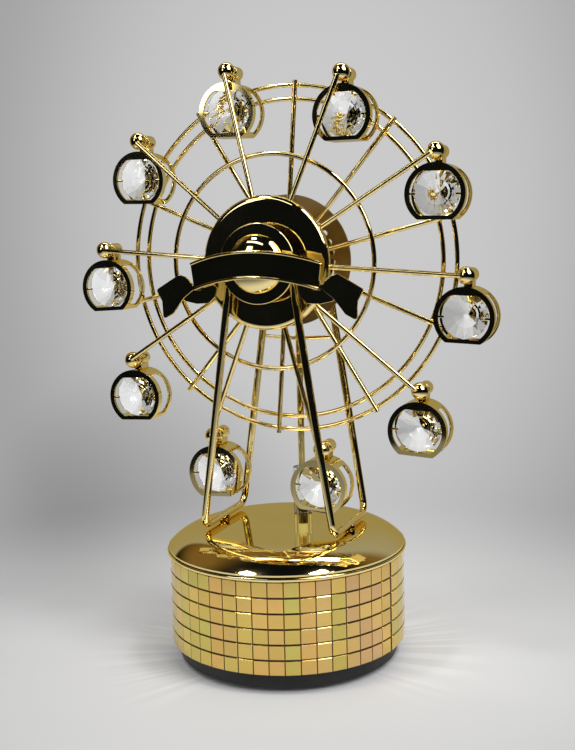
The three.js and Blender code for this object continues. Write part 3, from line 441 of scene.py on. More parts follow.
def handled(tree, shader, patch_scale, grain_scale, clean, hazy, bump):
    values = {"Patch Scale": patch_scale, "Clean": clean, "Hazy": hazy, "Grain Scale": grain_scale}
    surface = put(tree, "ShaderNodeGroup", values, node_tree=handling).outputs
    dent = made(tree, "ShaderNodeBump", {"Strength": bump, "Distance": RELIEF, "Height": surface["Height"]})
    tree.links.new(surface["Roughness"], shader.inputs["Roughness"])
    tree.links.new(dent, shader.inputs["Normal"])


def finish(name, values, first, second, tint_scale, *surface):
    material, tree, shader = blank_material(name, values)
    tints = {"First": (*first, 1), "Second": (*second, 1), "Scale": tint_scale}
    mixed = made(tree, "ShaderNodeGroup", tints, node_tree=tint)
    tree.links.new(mixed, shader.inputs["Base Color"])
    handled(tree, shader, *surface)
    return material


print("relief", RELIEF / mm, "mm")

# %% [markdown]
# Most of the toy is stamped or bent metal with a bright gold plating. Gold reflects red fully, green less
# and blue hardly at all, and the base colour of a metal is exactly that. The specular tint has the same
# colour, so that the gold stays gold at a grazing view. The disc behind the wheel is a duller, satin
# sheet, and the works inside are bare brass and steel. The banner is polished only in front: its rear
# keeps the roughness of the mould, which a mask on the normal gives it.


# %% Metals
METAL_PATCHES = 45
CAST_ROUGHNESS = 0.4
TURNED_BACK = (0.2, 0.5)
# Two tints, the roughness where clean and where hazy, the scale of the grain and the depth of the relief.
GOLD = ((0.94, 0.77, 0.355), (0.96, 0.80, 0.39), 0.05, 0.09, 900, 0.003)


def metal(name, first, second, clean, hazy, grain_scale, bump):
    values = {"Metallic": 1.0, "Specular Tint": (*first, 1)}
    scales = (METAL_PATCHES, METAL_PATCHES, grain_scale)
    return finish(name, values, first, second, *scales, clean, hazy, bump)


def matt_rear(material):
    """Leaves the faces turned to the rear as rough as they were cast."""
    tree = material.node_tree
    roughness = tree.nodes["Principled BSDF"].inputs["Roughness"]
    normal = put(tree, "ShaderNodeTexCoord").outputs["Normal"]
    backwards = put(tree, "ShaderNodeSeparateXYZ", {0: normal}).outputs["Y"]
    cast = times(tree, ramp(tree, backwards, *TURNED_BACK), CAST_ROUGHNESS)
    tree.links.new(maths(tree, "MAXIMUM", roughness.links[0].from_socket, cast), roughness)
    return material


gold = metal("gold_plating", *GOLD)
ribbon_gold = matt_rear(metal("gold_plated_casting", *GOLD))
satin = metal("satin_gold_sheet", (0.42, 0.31, 0.14), (0.50, 0.37, 0.17), 0.30, 0.42, 2400, 0.2)
brass = metal("machined_brass", (0.80, 0.62, 0.30), (0.87, 0.68, 0.34), 0.16, 0.30, 1600, 0.15)
steel = metal("turned_steel", (0.66, 0.66, 0.66), (0.74, 0.74, 0.75), 0.14, 0.26, 1600, 0.12)
blued = metal("dark_fitting", (0.20, 0.18, 0.15), (0.28, 0.25, 0.20), 0.22, 0.34, 1600, 0.12)
print("metals", gold.name, satin.name, brass.name, steel.name, blued.name)

# %% [markdown]
# The mosaic is cut from mirror sheet. Its colour changes from column to column, rose, champagne, olive,
# honey and amber: partly the sheet's own tint and partly painted reflection, because each column faces the
# room at its own angle. So each tile carries two numbers: one for its column and one of its own. They are
# stored on the mesh when the band is made, and the material turns them into colour. The plastics are dark
# and only need their roughness to tell them apart; the black one is darker still, as painted shade under
# the drum.

# %% Mosaic, joint and plastics
TILE_TINTS = ("column_tint_and_reflection", "tile_tint")
TILE_COLOURS_AND_REFLECTIONS = {
    # rose, champagne, olive, honey and amber, tints with painted reflection, each at its place on the scale
    0.0: (0.86, 0.55, 0.25, 1),
    0.3: (0.89, 0.63, 0.17, 1),
    0.5: (0.74, 0.65, 0.17, 1),
    0.7: (0.92, 0.65, 0.18, 1),
    1.0: (0.92, 0.58, 0.19, 1),
}
TILE_LIFT = (0.79, 0.88)
TILE_STRAY = 0.3
TILE_SCALES = (160, 1200)
PLASTIC_SCALES = (60, 80, 1800)


def tile_material():
    material, tree, shader = blank_material("mirror_tile", {"Metallic": 1.0})
    column, own = (
        put(tree, "ShaderNodeAttribute", attribute_name=label).outputs["Fac"] for label in TILE_TINTS
    )
    # The column's value sets its tint and its painted reflection.
    strayed = maths(tree, "MULTIPLY_ADD", maths(tree, "SUBTRACT", own, 0.5), TILE_STRAY, column)
    band = put(tree, "ShaderNodeValToRGB", {"Fac": strayed})
    stops = band.color_ramp.elements
    for place, colour in TILE_COLOURS_AND_REFLECTIONS.items():
        if 0 < place < 1:
            stops.new(place).color = colour
    stops[0].color, stops[-1].color = TILE_COLOURS_AND_REFLECTIONS[0.0], TILE_COLOURS_AND_REFLECTIONS[1.0]
    shading = {"Factor": 1.0, 6: band.outputs[0], 7: ramp(tree, own, 0.0, 1.0, *TILE_LIFT)}
    shaded = put(tree, "ShaderNodeMix", shading, data_type="RGBA", blend_type="MULTIPLY")
    tree.links.new(shaded.outputs[2], shader.inputs["Base Color"])
    handled(tree, shader, *TILE_SCALES, 0.10, 0.18, 0.02)
    return material


def plastic(name, colour, clean, hazy, bump):
    lighter = tuple(1.2 * level for level in colour)
    return finish(name, {}, colour, lighter, *PLASTIC_SCALES, clean, hazy, bump)


mosaic = tile_material()
joint_paste = plastic("tile_joint", (0.060, 0.030, 0.012), 0.5, 0.7, 0.2)
# Black plastic, made darker still to paint the shade under the drum.
black_plastic = plastic("black_moulding_and_shade", (0.004, 0.004, 0.0045), 0.42, 0.58, 0.25)
rubber = plastic("foot_rubber", (0.020, 0.020, 0.021), 0.6, 0.8, 0.4)
print("mosaic and", black_plastic.name)

# %% [markdown]
# The crystals are lead glass, clearer and stronger in refraction than window glass, and the coupling
# sleeve is a soft clear tube. Both keep a plain transmission value, so that other programs read them as
# glass.


# %% Glass
GLASS_SCALES = (60, 120, 700)


def glass(name, colour, ior, clean, hazy, bump):
    values = {"Transmission Weight": 1.0, "IOR": ior}
    lighter = tuple(min(1, 1.02 * level) for level in colour)
    return finish(name, values, colour, lighter, *GLASS_SCALES, clean, hazy, bump)


crystal_glass = glass("lead_crystal", (0.97, 0.98, 0.98), 1.56, 0.0, 0.02, 0.0)
clear_tube = glass("clear_tube", (0.86, 0.88, 0.86), 1.42, 0.06, 0.14, 0.03)
print("glass", crystal_glass.name, clear_tube.name)

# %% [markdown]
# Every metal edge here is slightly round: stamping, bending and plating leave no sharp one, and that
# roundness is what catches the light. So corners are rounded where shapes are drawn: one helper puts an
# arc in the place of each corner, in a profile, in an outline or in a bent rod's path. A bevel on the
# finished mesh could do it too, but it finds its edges by angle, and a drawn arc always has its radius.

# %% Rounded corners
TINY = 1e-9
STRAIGHT = radians(8)
CORNER_REACH = 0.45


def spread(start, end, steps):
    """Evenly spaced values from start to end."""
    return [start + (end - start) * k / steps for k in range(steps + 1)]


def round_angles(count, shift=0):
    return [2 * pi * (k + shift) / count for k in range(count)]


def soften(points, radius, steps=4, closed=True):
    """Puts an arc in the place of each corner of a path."""
    points = [Vector((*point, 0)[:3]) for point in points]
    path = []
    for k, point in enumerate(points):
        at_end = not closed and k in (0, len(points) - 1)
        before = points[k - 1] - point
        after = points[(k + 1) % len(points)] - point
        doubled = at_end or before.length < TINY or after.length < TINY
        if doubled or abs(before.angle(after) - pi) < STRAIGHT:
            path.append(point)
            continue
        half = before.angle(after) / 2
        reach = min(radius / tan(half), CORNER_REACH * before.length, CORNER_REACH * after.length)
        real = reach * tan(half)
        centre = point + (before.normalized() + after.normalized()).normalized() * (real / sin(half))
        start = point + before.normalized() * reach - centre
        end = point + after.normalized() * reach - centre
        path.extend(centre + real * start.slerp(end, step / steps) for step in range(steps + 1))
    return path


def softened_profile(profile, radius):
    """Rounds a profile's corners, but leaves those on the axis sharp."""
    if radius < TINY:
        return [Vector((*point, 0)) for point in profile]
    return soften(profile, radius, closed=not any(point[0] < TINY for point in profile))


square = [(0, 0), (1, 0), (1, 1), (0, 1)]
print("a square rounded:", len(soften(square, 0.1)), "points")

# %% [markdown]
# Most of the toy was turned, spun or bent, so most of its pieces come from one idea: rings of points, with
# faces between each ring and the next. A turned piece is its profile carried round an axis. A rod is a
# curve with a bevel, made into a mesh once it has its path. Faces that meet at a wide angle are shaded as
# one smooth surface, and the others keep their edge.

# %% Turned and bent pieces
SMOOTH_ANGLE = radians(32)


def shaded_piece(name, data):
    data.name = name
    data.shade_smooth()
    data.set_sharp_from_angle(angle=SMOOTH_ANGLE)
    return new_object(name, data)


def piece_from(name, mesh, recalculate=True):
    if recalculate:
        bmesh.ops.recalc_face_normals(mesh, faces=mesh.faces)
    data = bpy.data.meshes.new(name)
    mesh.to_mesh(data)
    mesh.free()
    return shaded_piece(name, data)


def evaluated_mesh(source):
    bpy.context.view_layer.update()
    shape = source.evaluated_get(bpy.context.evaluated_depsgraph_get())
    return bpy.data.meshes.new_from_object(shape)


def settled(source, name):
    """The evaluated shape of an object as a plain mesh of its own."""
    data = evaluated_mesh(source)
    bpy.data.objects.remove(source)
    return shaded_piece(name, data)


def bridge(mesh, rings, closed):
    """Faces between each ring of vertices and the next. A ring of one vertex is a pole."""
    for first, second in zip(rings, rings[1:] + rings[:1] if closed else rings[1:]):
        count = max(len(first), len(second))
        for k in range(count):
            j = (k + 1) % count
            places = ((first, k), (first, j), (second, j), (second, k))
            corners = list(dict.fromkeys(ring[i % len(ring)] for ring, i in places))
            if len(corners) > 2:
                mesh.faces.new(corners)


def swept(name, rings, closed):
    """A piece from rings of points, with its two ends closed where it doesn't run round."""
    mesh = bmesh.new()
    rings = [[mesh.verts.new(point) for point in ring] for ring in rings]
    bridge(mesh, rings, closed)
    if not closed:
        mesh.faces.new(rings[0])
        mesh.faces.new(rings[-1])
    return piece_from(name, mesh)


def turned(name, profile, axis="Z", centre=(0, 0, 0), sides=96, round_off=0.15 * mm):
    """A closed profile of radius and height, spun round an axis through centre."""
    def placed(angle, radius, along):
        out, over = radius * cos(angle), radius * sin(angle)
        point = (out, along, over) if axis == "Y" else (out, over, along)
        return Vector(point) + Vector(centre)

    rings = []
    for radius, along, _ in softened_profile(profile, round_off):
        angles = round_angles(1 if radius < TINY else sides)
        rings.append([placed(angle, radius, along) for angle in angles])
    return swept(name, rings, True)


def rod(name, path, radius, closed=False, resolution=8):
    """A round bar along a path, as a curve with a bevel, turned into a mesh."""
    curve = bpy.data.curves.new(name, "CURVE")
    curve.dimensions = "3D"
    curve.bevel_depth = radius
    curve.bevel_resolution = resolution
    curve.use_fill_caps = True
    line = curve.splines.new("POLY")
    line.points.add(len(path) - 1)
    for point, place in zip(line.points, path):
        point.co = (*place, 1)
    line.use_cyclic_u = closed
    return settled(new_object(name + "_line", curve), name)


print("sharp from", round(SMOOTH_ANGLE, 3), "radians")

# %% [markdown]
# A few parts are blocks, or are cut and joined from several. A block gets a bevel, because a cast or sawn
# edge is broken on every side by the same small amount. Cuts are Booleans, made before the bevel where a
# piece has one, so that the new edges are broken as well. Parts that would be soldered together are joined
# into one mesh.

# %% Blocks, cuts and joints
BEVEL_ANGLE = radians(40)


def bevelled(piece, width, segments=2):
    name = piece.name
    edge = piece.modifiers.new("edge", "BEVEL")
    edge.width = width
    edge.segments = segments
    edge.limit_method = "ANGLE"
    edge.angle_limit = BEVEL_ANGLE
    piece.name = name + "_rough"
    return settled(piece, name)


def block(name, low, high, edge, segments=2):
    mesh = bmesh.new()
    low, high = Vector(low), Vector(high)
    placed = Matrix.Translation((high + low) / 2) @ Matrix.Diagonal((*(high - low), 1))
    bmesh.ops.create_cube(mesh, size=1, matrix=placed)
    return bevelled(piece_from(name, mesh), edge, segments)


def carved(piece, *tools):
    """Cuts tools out of a piece and removes them."""
    name = piece.name
    for tool in tools:
        cut = piece.modifiers.new("cut", "BOOLEAN")
        cut.operation = "DIFFERENCE"
        cut.object = tool
        piece.name = name + "_whole"
        piece = settled(piece, name)
        bpy.data.objects.remove(tool)
    return piece


def joined(name, *parts):
    mesh = bmesh.new()
    for part in parts:
        mesh.from_mesh(part.data)
        bpy.data.objects.remove(part)
    return piece_from(name, mesh, recalculate=False)


print("bevelled from", round(BEVEL_ANGLE, 3), "radians")

# %% [markdown]
# The last helpers finish a piece. One reads where the frame puts a node. The next weights the normals by
# face area, so that a flat face stays a flat mirror up to its rounded edge, and says which body carries
# the piece, which finish it has and which nodes it stands for. The last does the same in gold, because
# most pieces are gold.


# %% Finishing a piece
def edges(node, axis):
    low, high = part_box(node)
    place = "xyz".index(axis)
    return low[place], high[place]


def dress(piece, material, slot, body, *stands_for):
    """Gives a piece its finish, its body and the nodes that it stands for. The slot is not used."""
    if not piece.data.materials:
        piece.data.materials.append(material)
    piece.modifiers.new("weighted", "WEIGHTED_NORMAL").keep_sharp = True
    data = evaluated_mesh(piece)
    piece.modifiers.clear()
    data.name = piece.name
    piece.data = data
    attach(piece, body)
    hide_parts(*stands_for)
    print(piece.name, len(piece.data.polygons), "faces")


def gild(piece, body, *stands_for):
    dress(piece, gold, "polished_gold", body, *stands_for)


hub_height = sum(edges("outer_ring", "z")) / 2
print("hub", round(hub_height / mm, 2), "mm high")

# %% [markdown]
# Many pieces repeat round an axis: spokes, gondola pins, gear pins, feet. A Geometry Nodes tree does this
# once and for all. It takes one copy as its input geometry, and its count, first angle and axis as named
# inputs. An array modifier with a helper object could do the same, but a tree keeps the rule in one place,
# with its numbers in the open. Instances are realised at the end, because a finished piece is a plain
# mesh.


# %% Geometry trees
def geometry_tree(name, **inputs):
    geometry = {"Geometry": ["Geometry"]}
    return node_group(name, "Geometry", {**geometry, **inputs, "Material": ["Material"]}, geometry)


def close_tree(tree, geometry, source):
    real = made(tree, "GeometryNodeRealizeInstances", {0: geometry})
    coated = made(tree, "GeometryNodeSetMaterial", {0: real, "Material": source["Material"]})
    put(tree, "NodeGroupOutput", {0: coated})
    return tree


def own_index(tree):
    return made(tree, "GeometryNodeInputIndex")


def step_angle(tree, count, first_angle):
    """Each point's angle, by its index, in count equal steps round a circle."""
    return maths(tree, "MULTIPLY_ADD", own_index(tree), maths(tree, "DIVIDE", 2 * pi, count), first_angle)


def point_copies(tree, count, place, instance, **more):
    points = made(tree, "GeometryNodePoints", {"Count": count, "Position": place})
    return made(tree, "GeometryNodeInstanceOnPoints", {"Points": points, "Instance": instance, **more})


def turned_by(tree, axis, angle):
    return made(tree, "FunctionNodeAxisAngleToRotation", {"Axis": axis, "Angle": angle})


def grown(name, tree, values, seed_piece=None):
    """Runs a tree on a piece, or on nothing, and keeps the result as a plain mesh."""
    if seed_piece is None:
        seed_piece = new_object(name + "_seed", bpy.data.meshes.new(name + "_seed"))
    run = seed_piece.modifiers.new("tree", "NODES")
    run.node_group = tree
    labels = {item.name: item.identifier for item in tree.interface.items_tree if item.in_out == "INPUT"}
    for label, value in values.items():
        run[labels[label]] = value
    return settled(seed_piece, name)


def copies_tree():
    inputs = {"Int": ["Count"], "Float": ["First Angle"], "Vector": ["Axis", "Centre"]}
    tree, source = geometry_tree("copies_round_axis", **inputs)
    turn = turned_by(tree, source["Axis"], step_angle(tree, source["Count"], source["First Angle"]))
    placed = point_copies(tree, source["Count"], source["Centre"], source["Geometry"], Rotation=turn)
    return close_tree(tree, placed, source)


copies = copies_tree()


def copied_round(name, piece, count, first_angle, axis, centre, material):
    """The piece is drawn as if the axis ran through the origin."""
    piece.name = name + "_one"
    labels = ("Count", "First Angle", "Axis", "Centre", "Material")
    return grown(name, copies, dict(zip(labels, (count, first_angle, axis, centre, material))), piece)


print("tree", copies.name)

# %% [markdown]
# The rings of the wheel are hoops of round wire, and the same small tree makes all three: a circle, a
# section and Curve to Mesh. A torus would do as well, but not with the section and the ring as two plain
# measures.

# %% Hoops
HOOP_WIRE = 0.75 * mm
HOOP_STEPS = 160
WIRE_SIDES = 16


def circle(tree, resolution, radius):
    return made(tree, "GeometryNodeCurvePrimitiveCircle", {"Resolution": resolution, "Radius": radius})


def set_upright(tree, geometry, centre):
    sockets = {"Geometry": geometry, "Rotation": (pi / 2, 0, 0), "Translation": centre}
    return made(tree, "GeometryNodeTransform", sockets)


def hoop_tree():
    tree, source = geometry_tree("wire_hoop", Float=["Radius", "Wire Radius"], Vector=["Centre"])
    section = circle(tree, WIRE_SIDES, source["Wire Radius"])
    ring = circle(tree, HOOP_STEPS, source["Radius"])
    tube = made(tree, "GeometryNodeCurveToMesh", {0: ring, 1: section})
    return close_tree(tree, set_upright(tree, tube, source["Centre"]), source)


hoop = hoop_tree()
for place in ("outer", "second", "inner"):
    ring = place + "_ring"
    piece = grown(place + "_hoop", hoop, {
        "Radius": edges(ring, "x")[1] - HOOP_WIRE,
        "Wire Radius": HOOP_WIRE,
        "Centre": (0, sum(edges(ring, "y")) / 2, hub_height),
        "Material": gold,
    })
    gild(piece, "wheel", ring)

# %% [markdown]
# The wheel has a front and a rear set of ten spokes. Each rear spoke is a straight rod to the outer ring.
# Each front spoke reaches further, and its tip carries a ball and a pin, on which a gondola hangs. One
# spoke is made with all that it carries and then copied round the hub.

# %% Spokes
SPOKES = 10
SPOKE_STEP = 2 * pi / SPOKES
WHEEL_TURN = radians(-4.36)
SPOKE_RADIUS = 0.8 * mm
SPOKE_START = 5.0 * mm
PIN_CIRCLE = 63.8 * mm
PIN_RADIUS = 0.7 * mm
PIN_BACK = 4.7 * mm
BALL_RADIUS = 2.85 * mm
BALL_SINK = 0.9 * mm
TIP_SETBACK = 1.2 * mm
FRONT_HUB_PLANE = 10.2 * mm
FRONT_BOSS_BACK = 9.2 * mm
FRONT_TIP_PLANE = 7.1 * mm
REAR_PLANE = 6.85 * mm
REAR_TIP = 59.3 * mm
COLLAR_RADIUS = 6.5 * mm
HUB_RADIUS = 3.5 * mm
GAP = 0.3 * mm
RUN_GAP = 0.35 * mm
Y_AXIS = (0, 1, 0)
HUB = (0, 0, hub_height)


def arc(centre_out, centre_along, out, along, start, end, steps=20):
    angles = spread(start, end, steps)
    return [(centre_out + out * cos(a), centre_along + along * sin(a)) for a in angles]


def ball(name, radius, centre):
    """A full ball: an arc from pole to pole, with both ends set on the axis."""
    profile = arc(0, 0, radius, radius, -pi / 2, pi / 2)
    profile[0], profile[-1] = (0, -radius), (0, radius)
    return turned(name, profile, "Y", centre, sides=32, round_off=0)


def tube_profile(inner, outer, low, high):
    return [(inner, low), (outer, low), (outer, high), (inner, high)]


def bar_profile(radius, low, high):
    return [(0, low), (radius, low), (radius, high), (0, high)]


def spoke_set(name, spoke, first_angle, boss_ends, node):
    """Ten spokes and the boss that holds them."""
    spokes = copied_round(name + "_set", spoke, SPOKES, first_angle, Y_AXIS, HUB, gold)
    boss = turned(name + "_boss", tube_profile(HUB_RADIUS + GAP, COLLAR_RADIUS, *boss_ends), "Y", HUB)
    gild(joined(name, spokes, boss), "wheel", node)


ball_plane = -FRONT_TIP_PLANE + SPOKE_RADIUS + BALL_RADIUS - BALL_SINK
front_spoke = joined(
    "front_spoke_parts",
    rod("front_rod", [
        (SPOKE_START, -FRONT_HUB_PLANE, 0),
        (PIN_CIRCLE - TIP_SETBACK, -FRONT_TIP_PLANE, 0),
    ], SPOKE_RADIUS),
    ball("tip_ball", BALL_RADIUS, (PIN_CIRCLE, ball_plane, 0)),
    turned("hang_pin", bar_profile(PIN_RADIUS, ball_plane, PIN_BACK), "Y", (PIN_CIRCLE, 0, 0), sides=24),
)
rear_spoke = rod("rear_rod", [(SPOKE_START, REAR_PLANE, 0), (REAR_TIP, REAR_PLANE, 0)], SPOKE_RADIUS)
front_boss = (edges("front_spoke_frame", "y")[0], -FRONT_BOSS_BACK)
rear_boss = edges("rear_spoke_frame", "y")
first_rear = -(pi / 2 + WHEEL_TURN)
spoke_set("front_spokes", front_spoke, first_rear - SPOKE_STEP / 2, front_boss, "front_spoke_frame")
spoke_set("rear_spokes", rear_spoke, first_rear, rear_boss, "rear_spoke_frame")

# %% [markdown]
# The hub is a stack of turned and stamped pieces: the tube that the spokes are set on, the large dished
# front disc, and what stands still round them, the bearing plates, the dome over the axle's end, the
# spacers and the axle itself. All are bodies of revolution, so each is a profile spun round the axle.

# %% Hub pieces
AXLE_RADIUS = 1.5 * mm
SPACER_RADIUS = 3.1 * mm
DISC_RADIUS = 21.7 * mm
DISC_WALL = 0.8 * mm
DISC_ROUND = 1.5 * mm
DISC_FALL = 1.9 * mm
PLATE_RADIUS = 12.9 * mm
PLATE_ROUND = 0.3 * mm
DOME_RADIUS = 9.4 * mm
DOME_WALL = 0.7 * mm
REAR_CAP_RADIUS = 5 * mm
REAR_CAP_START = 0.05


def around_hub(name, node, profile, body, material=gold, slot="polished_gold", round_off=0.15 * mm):
    piece = turned(name, profile, "Y", HUB, sides=128, round_off=round_off)
    dress(piece, material, slot, body, node)


def dished_disc():
    front, back = edges("front_disc", "y")
    out, along = DISC_RADIUS - DISC_FALL, front + DISC_ROUND
    rim = arc(out, along, DISC_FALL, DISC_ROUND, -pi / 2, 0, steps=14)
    inside = arc(out, along, DISC_FALL - DISC_WALL, DISC_ROUND - DISC_WALL, 0, -pi / 2, steps=10)
    bore = AXLE_RADIUS + RUN_GAP
    edge = [(DISC_RADIUS, back), (DISC_RADIUS - DISC_WALL, back)]
    return [(bore, front), *rim, *edge, *inside, (bore, front + DISC_WALL)]


def dome():
    front, back = edges("dome_cap", "y")
    height = back - front
    outside = arc(0, back, DOME_RADIUS, -height, 0, pi / 2)
    inside = arc(0, back, DOME_RADIUS - DOME_WALL, DOME_WALL - height, pi / 2, 0)
    outside[-1], inside[0] = (0, outside[-1][1]), (0, inside[0][1])
    return [*outside, *inside]


def rear_plate_profile(near, far, thickness):
    seat = near + thickness
    bore = AXLE_RADIUS + GAP
    cap = arc(0, seat, REAR_CAP_RADIUS, far - seat, REAR_CAP_START, pi / 2, steps=12)
    cap[-1] = (0, far)
    rim = [(PLATE_RADIUS, near), (PLATE_RADIUS, seat)]
    return [(0, seat + GAP), (bore, seat + GAP), (bore, near), *rim, *cap]


def axle_tube(node, outer, gap=GAP):
    """The profile of a tube round the axle, between the ends of its node."""
    return tube_profile(AXLE_RADIUS + gap, outer, *edges(node, "y"))


front_plate = edges("front_bearing_plate", "y")
front_plate_profile = axle_tube("front_bearing_plate", PLATE_RADIUS)
rear_plate = rear_plate_profile(*edges("rear_bearing_plate", "y"), front_plate[1] - front_plate[0])
around_hub("front_dish", "front_disc", dished_disc(), "wheel", round_off=0)
around_hub("hub_tube", "wheel_hub", axle_tube("wheel_hub", HUB_RADIUS, RUN_GAP), "wheel")
around_hub("front_plate", "front_bearing_plate", front_plate_profile, "base", round_off=PLATE_ROUND)
around_hub("dome", "dome_cap", dome(), "base", round_off=0)
around_hub("axle_rod", "axle", bar_profile(AXLE_RADIUS, *edges("axle", "y")), "base", steel, "bright_steel")
for side in ("front", "rear"):
    node = "axle_spacer_" + side
    around_hub("spacer_" + side, node, axle_tube(node, SPACER_RADIUS), "base")
around_hub("rear_plate", "rear_bearing_plate", rear_plate, "base", round_off=0)

# %% [markdown]
# The drive disc is a flat sheet with a ring of thirty punched holes, in which the gear's pins work.
# Geometry Nodes draw it the way a punch does: a circle for the sheet, a small circle at each hole, Fill
# Curve between them, and an extrusion for the thickness. Booleans would also work, but they leave untidy
# faces round each hole.

# %% Drive disc
HOLES = 30
HOLE_RADIUS = 1.1 * mm
HOLE_CIRCLE = 15.85 * mm
HOLE_TURN = 3.7
REAR_DISC_RADIUS = 22.1 * mm
WELD = 0.01 * mm
HOLE_SIDES = 20
RIM_SIDES = 144
BORE_SIDES = 32


def joined_geometry(tree, *shapes):
    together = put(tree, "GeometryNodeJoinGeometry")
    for shape in shapes:
        tree.links.new(shape, together.inputs[0])
    return together.outputs[0]


def punched_tree():
    lengths = ["Radius", "Bore", "Hole Radius", "Hole Circle", "First Angle", "Thickness"]
    tree, source = geometry_tree("punched_disc", Float=lengths, Int=["Holes"], Vector=["Centre"])
    angle = step_angle(tree, source["Holes"], source["First Angle"])
    place = made(tree, "ShaderNodeCombineXYZ", {
        0: times(tree, maths(tree, "COSINE", angle), source["Hole Circle"]),
        1: times(tree, maths(tree, "SINE", angle), source["Hole Circle"]),
    })
    hole = circle(tree, HOLE_SIDES, source["Hole Radius"])
    punched = point_copies(tree, source["Holes"], place, hole)
    real = made(tree, "GeometryNodeRealizeInstances", {0: punched})
    rim = circle(tree, RIM_SIDES, source["Radius"])
    bore = circle(tree, BORE_SIDES, source["Bore"])
    sheet = made(tree, "GeometryNodeFillCurve", {0: joined_geometry(tree, rim, bore, real)})
    top = made(tree, "GeometryNodeExtrudeMesh", {
        "Mesh": sheet, "Offset": Z_AXIS, "Offset Scale": source["Thickness"], "Individual": False,
    })
    both = joined_geometry(tree, top, made(tree, "GeometryNodeFlipFaces", {0: sheet}))
    closed = made(tree, "GeometryNodeMergeByDistance", {0: both, "Distance": WELD})
    return close_tree(tree, set_upright(tree, closed, source["Centre"]), source)


disc_front, disc_back = edges("rear_disc", "y")
drive_disc = grown("drive_disc", punched_tree(), {
    "Radius": REAR_DISC_RADIUS, "Bore": AXLE_RADIUS + RUN_GAP, "Thickness": disc_back - disc_front,
    "Holes": HOLES, "Hole Radius": HOLE_RADIUS, "Hole Circle": HOLE_CIRCLE,
    "First Angle": radians(HOLE_TURN - 90), "Centre": (0, disc_back, hub_height), "Material": satin,
})
dress(drive_disc, satin, "satin_gold", "wheel", "rear_disc")

# %% [markdown]
# A gondola is a stamped cage: a flat front face with a short wall behind it, two broad strips back to a
# thin rear ring, two claws that hold the crystal, and a neck with a barrel that turns on the pin. Its
# outline is a circle cut off flat at the bottom. One section is carried round that outline, as a bead
# roller would do it, and the side openings are cut from it before the edges are rounded, so that walls and
# corners stay even.

# %% Gondola cage
CAGE_RADIUS = 9.65 * mm
CAGE_DROP = 13.1 * mm
FLAT_SHARE = 0.82
CAGE_FRONT = 5.4 * mm
CAGE_DEPTH = 9.9 * mm
FACE_THICKNESS = 0.9 * mm
OPENING_RADIUS = 8.1 * mm
OPENING_TOP_SHARE = 0.86
CAGE_WALL = 0.7 * mm
WALL_DEPTH = 2.4 * mm
REAR_WIDTH = 0.95 * mm
REAR_THICKNESS = 1.6 * mm
SIDE_OPENING = (radians(-44), radians(52))
BARREL_RADIUS = 2.25 * mm
BARREL_BORE = 1.15 * mm
BARREL_FRONT = ball_plane + BALL_RADIUS + RUN_GAP
BARREL_BACK = 4.3 * mm
NECK_SHARE = 0.6
NECK_SINK = 0.8
CLAW_LENGTH = 1.7 * mm
CLAW_WIDTH = 0.7 * mm
CLAW_DEPTH = 0.4 * mm
CAGE_EDGE = 0.3 * mm
OUTLINE_STEPS = 88
CUT_STEPS = 24


def cage_sweep(name, section, start, end, steps, runs_round):
    """Carries a section round the outline. It lists radius, place along Y and flat-top share."""
    def placed(angle, radius, plane, share):
        reach = min(radius, radius * share / max(sin(angle), share))
        return (reach * cos(angle), plane, -CAGE_DROP + reach * sin(angle))

    rings = [[placed(angle, *point) for point in section] for angle in spread(start, end, steps)]
    return swept(name, rings, runs_round)


def cage_shell(front, back, inner):
    wall_back = back - REAR_THICKNESS
    face_back = front + FACE_THICKNESS
    rear_inner = CAGE_RADIUS - REAR_WIDTH
    section = [
        (CAGE_RADIUS, front, 1), (CAGE_RADIUS, back, 1), (rear_inner, back, 1), (rear_inner, wall_back, 1),
        (inner, wall_back, 1), (inner, face_back, 1), (OPENING_RADIUS, face_back, OPENING_TOP_SHARE),
        (OPENING_RADIUS, front, OPENING_TOP_SHARE),
    ]
    flat_angle = asin(FLAT_SHARE)
    shell = cage_sweep("cage_shell", section, -flat_angle, pi + flat_angle, OUTLINE_STEPS, True)
    near, far = CAGE_RADIUS - 2 * REAR_WIDTH, CAGE_RADIUS + REAR_WIDTH
    wall = front + WALL_DEPTH
    cut = [(near, wall, 1), (far, wall, 1), (far, wall_back, 1), (near, wall_back, 1)]
    sides = (SIDE_OPENING, [pi - angle for angle in SIDE_OPENING])
    cutters = [cage_sweep("side_cut", cut, start, end, CUT_STEPS, False) for start, end in sides]
    return bevelled(carved(shell, *cutters), CAGE_EDGE, segments=3)


def cage():
    front = -CAGE_FRONT
    inner = CAGE_RADIUS - CAGE_WALL
    parts = [cage_shell(front, front + CAGE_DEPTH, inner)]
    for side in (-1, 1):
        reach = sorted((side * (OPENING_RADIUS - CLAW_LENGTH), side * inner))
        low = (reach[0], front + FACE_THICKNESS / 2, -CAGE_DROP - CLAW_WIDTH / 2)
        high = (reach[1], front + FACE_THICKNESS + CLAW_DEPTH, -CAGE_DROP + CLAW_WIDTH / 2)
        parts.append(block("cage_claw", low, high, CAGE_EDGE / 2))
    barrel = tube_profile(BARREL_BORE, BARREL_RADIUS, BARREL_FRONT, BARREL_BACK)
    parts.append(turned("cage_barrel", barrel, "Y", sides=32))
    half = BARREL_RADIUS * NECK_SHARE
    low = (-half, BARREL_FRONT, -CAGE_DROP + CAGE_RADIUS - CAGE_WALL / 2)
    high = (half, BARREL_BACK, -BARREL_RADIUS * NECK_SINK)
    parts.append(block("cage_neck", low, high, CAGE_EDGE))
    return joined("cage", *parts)


cage_model = cage()
print("cage", len(cage_model.data.polygons), "faces")

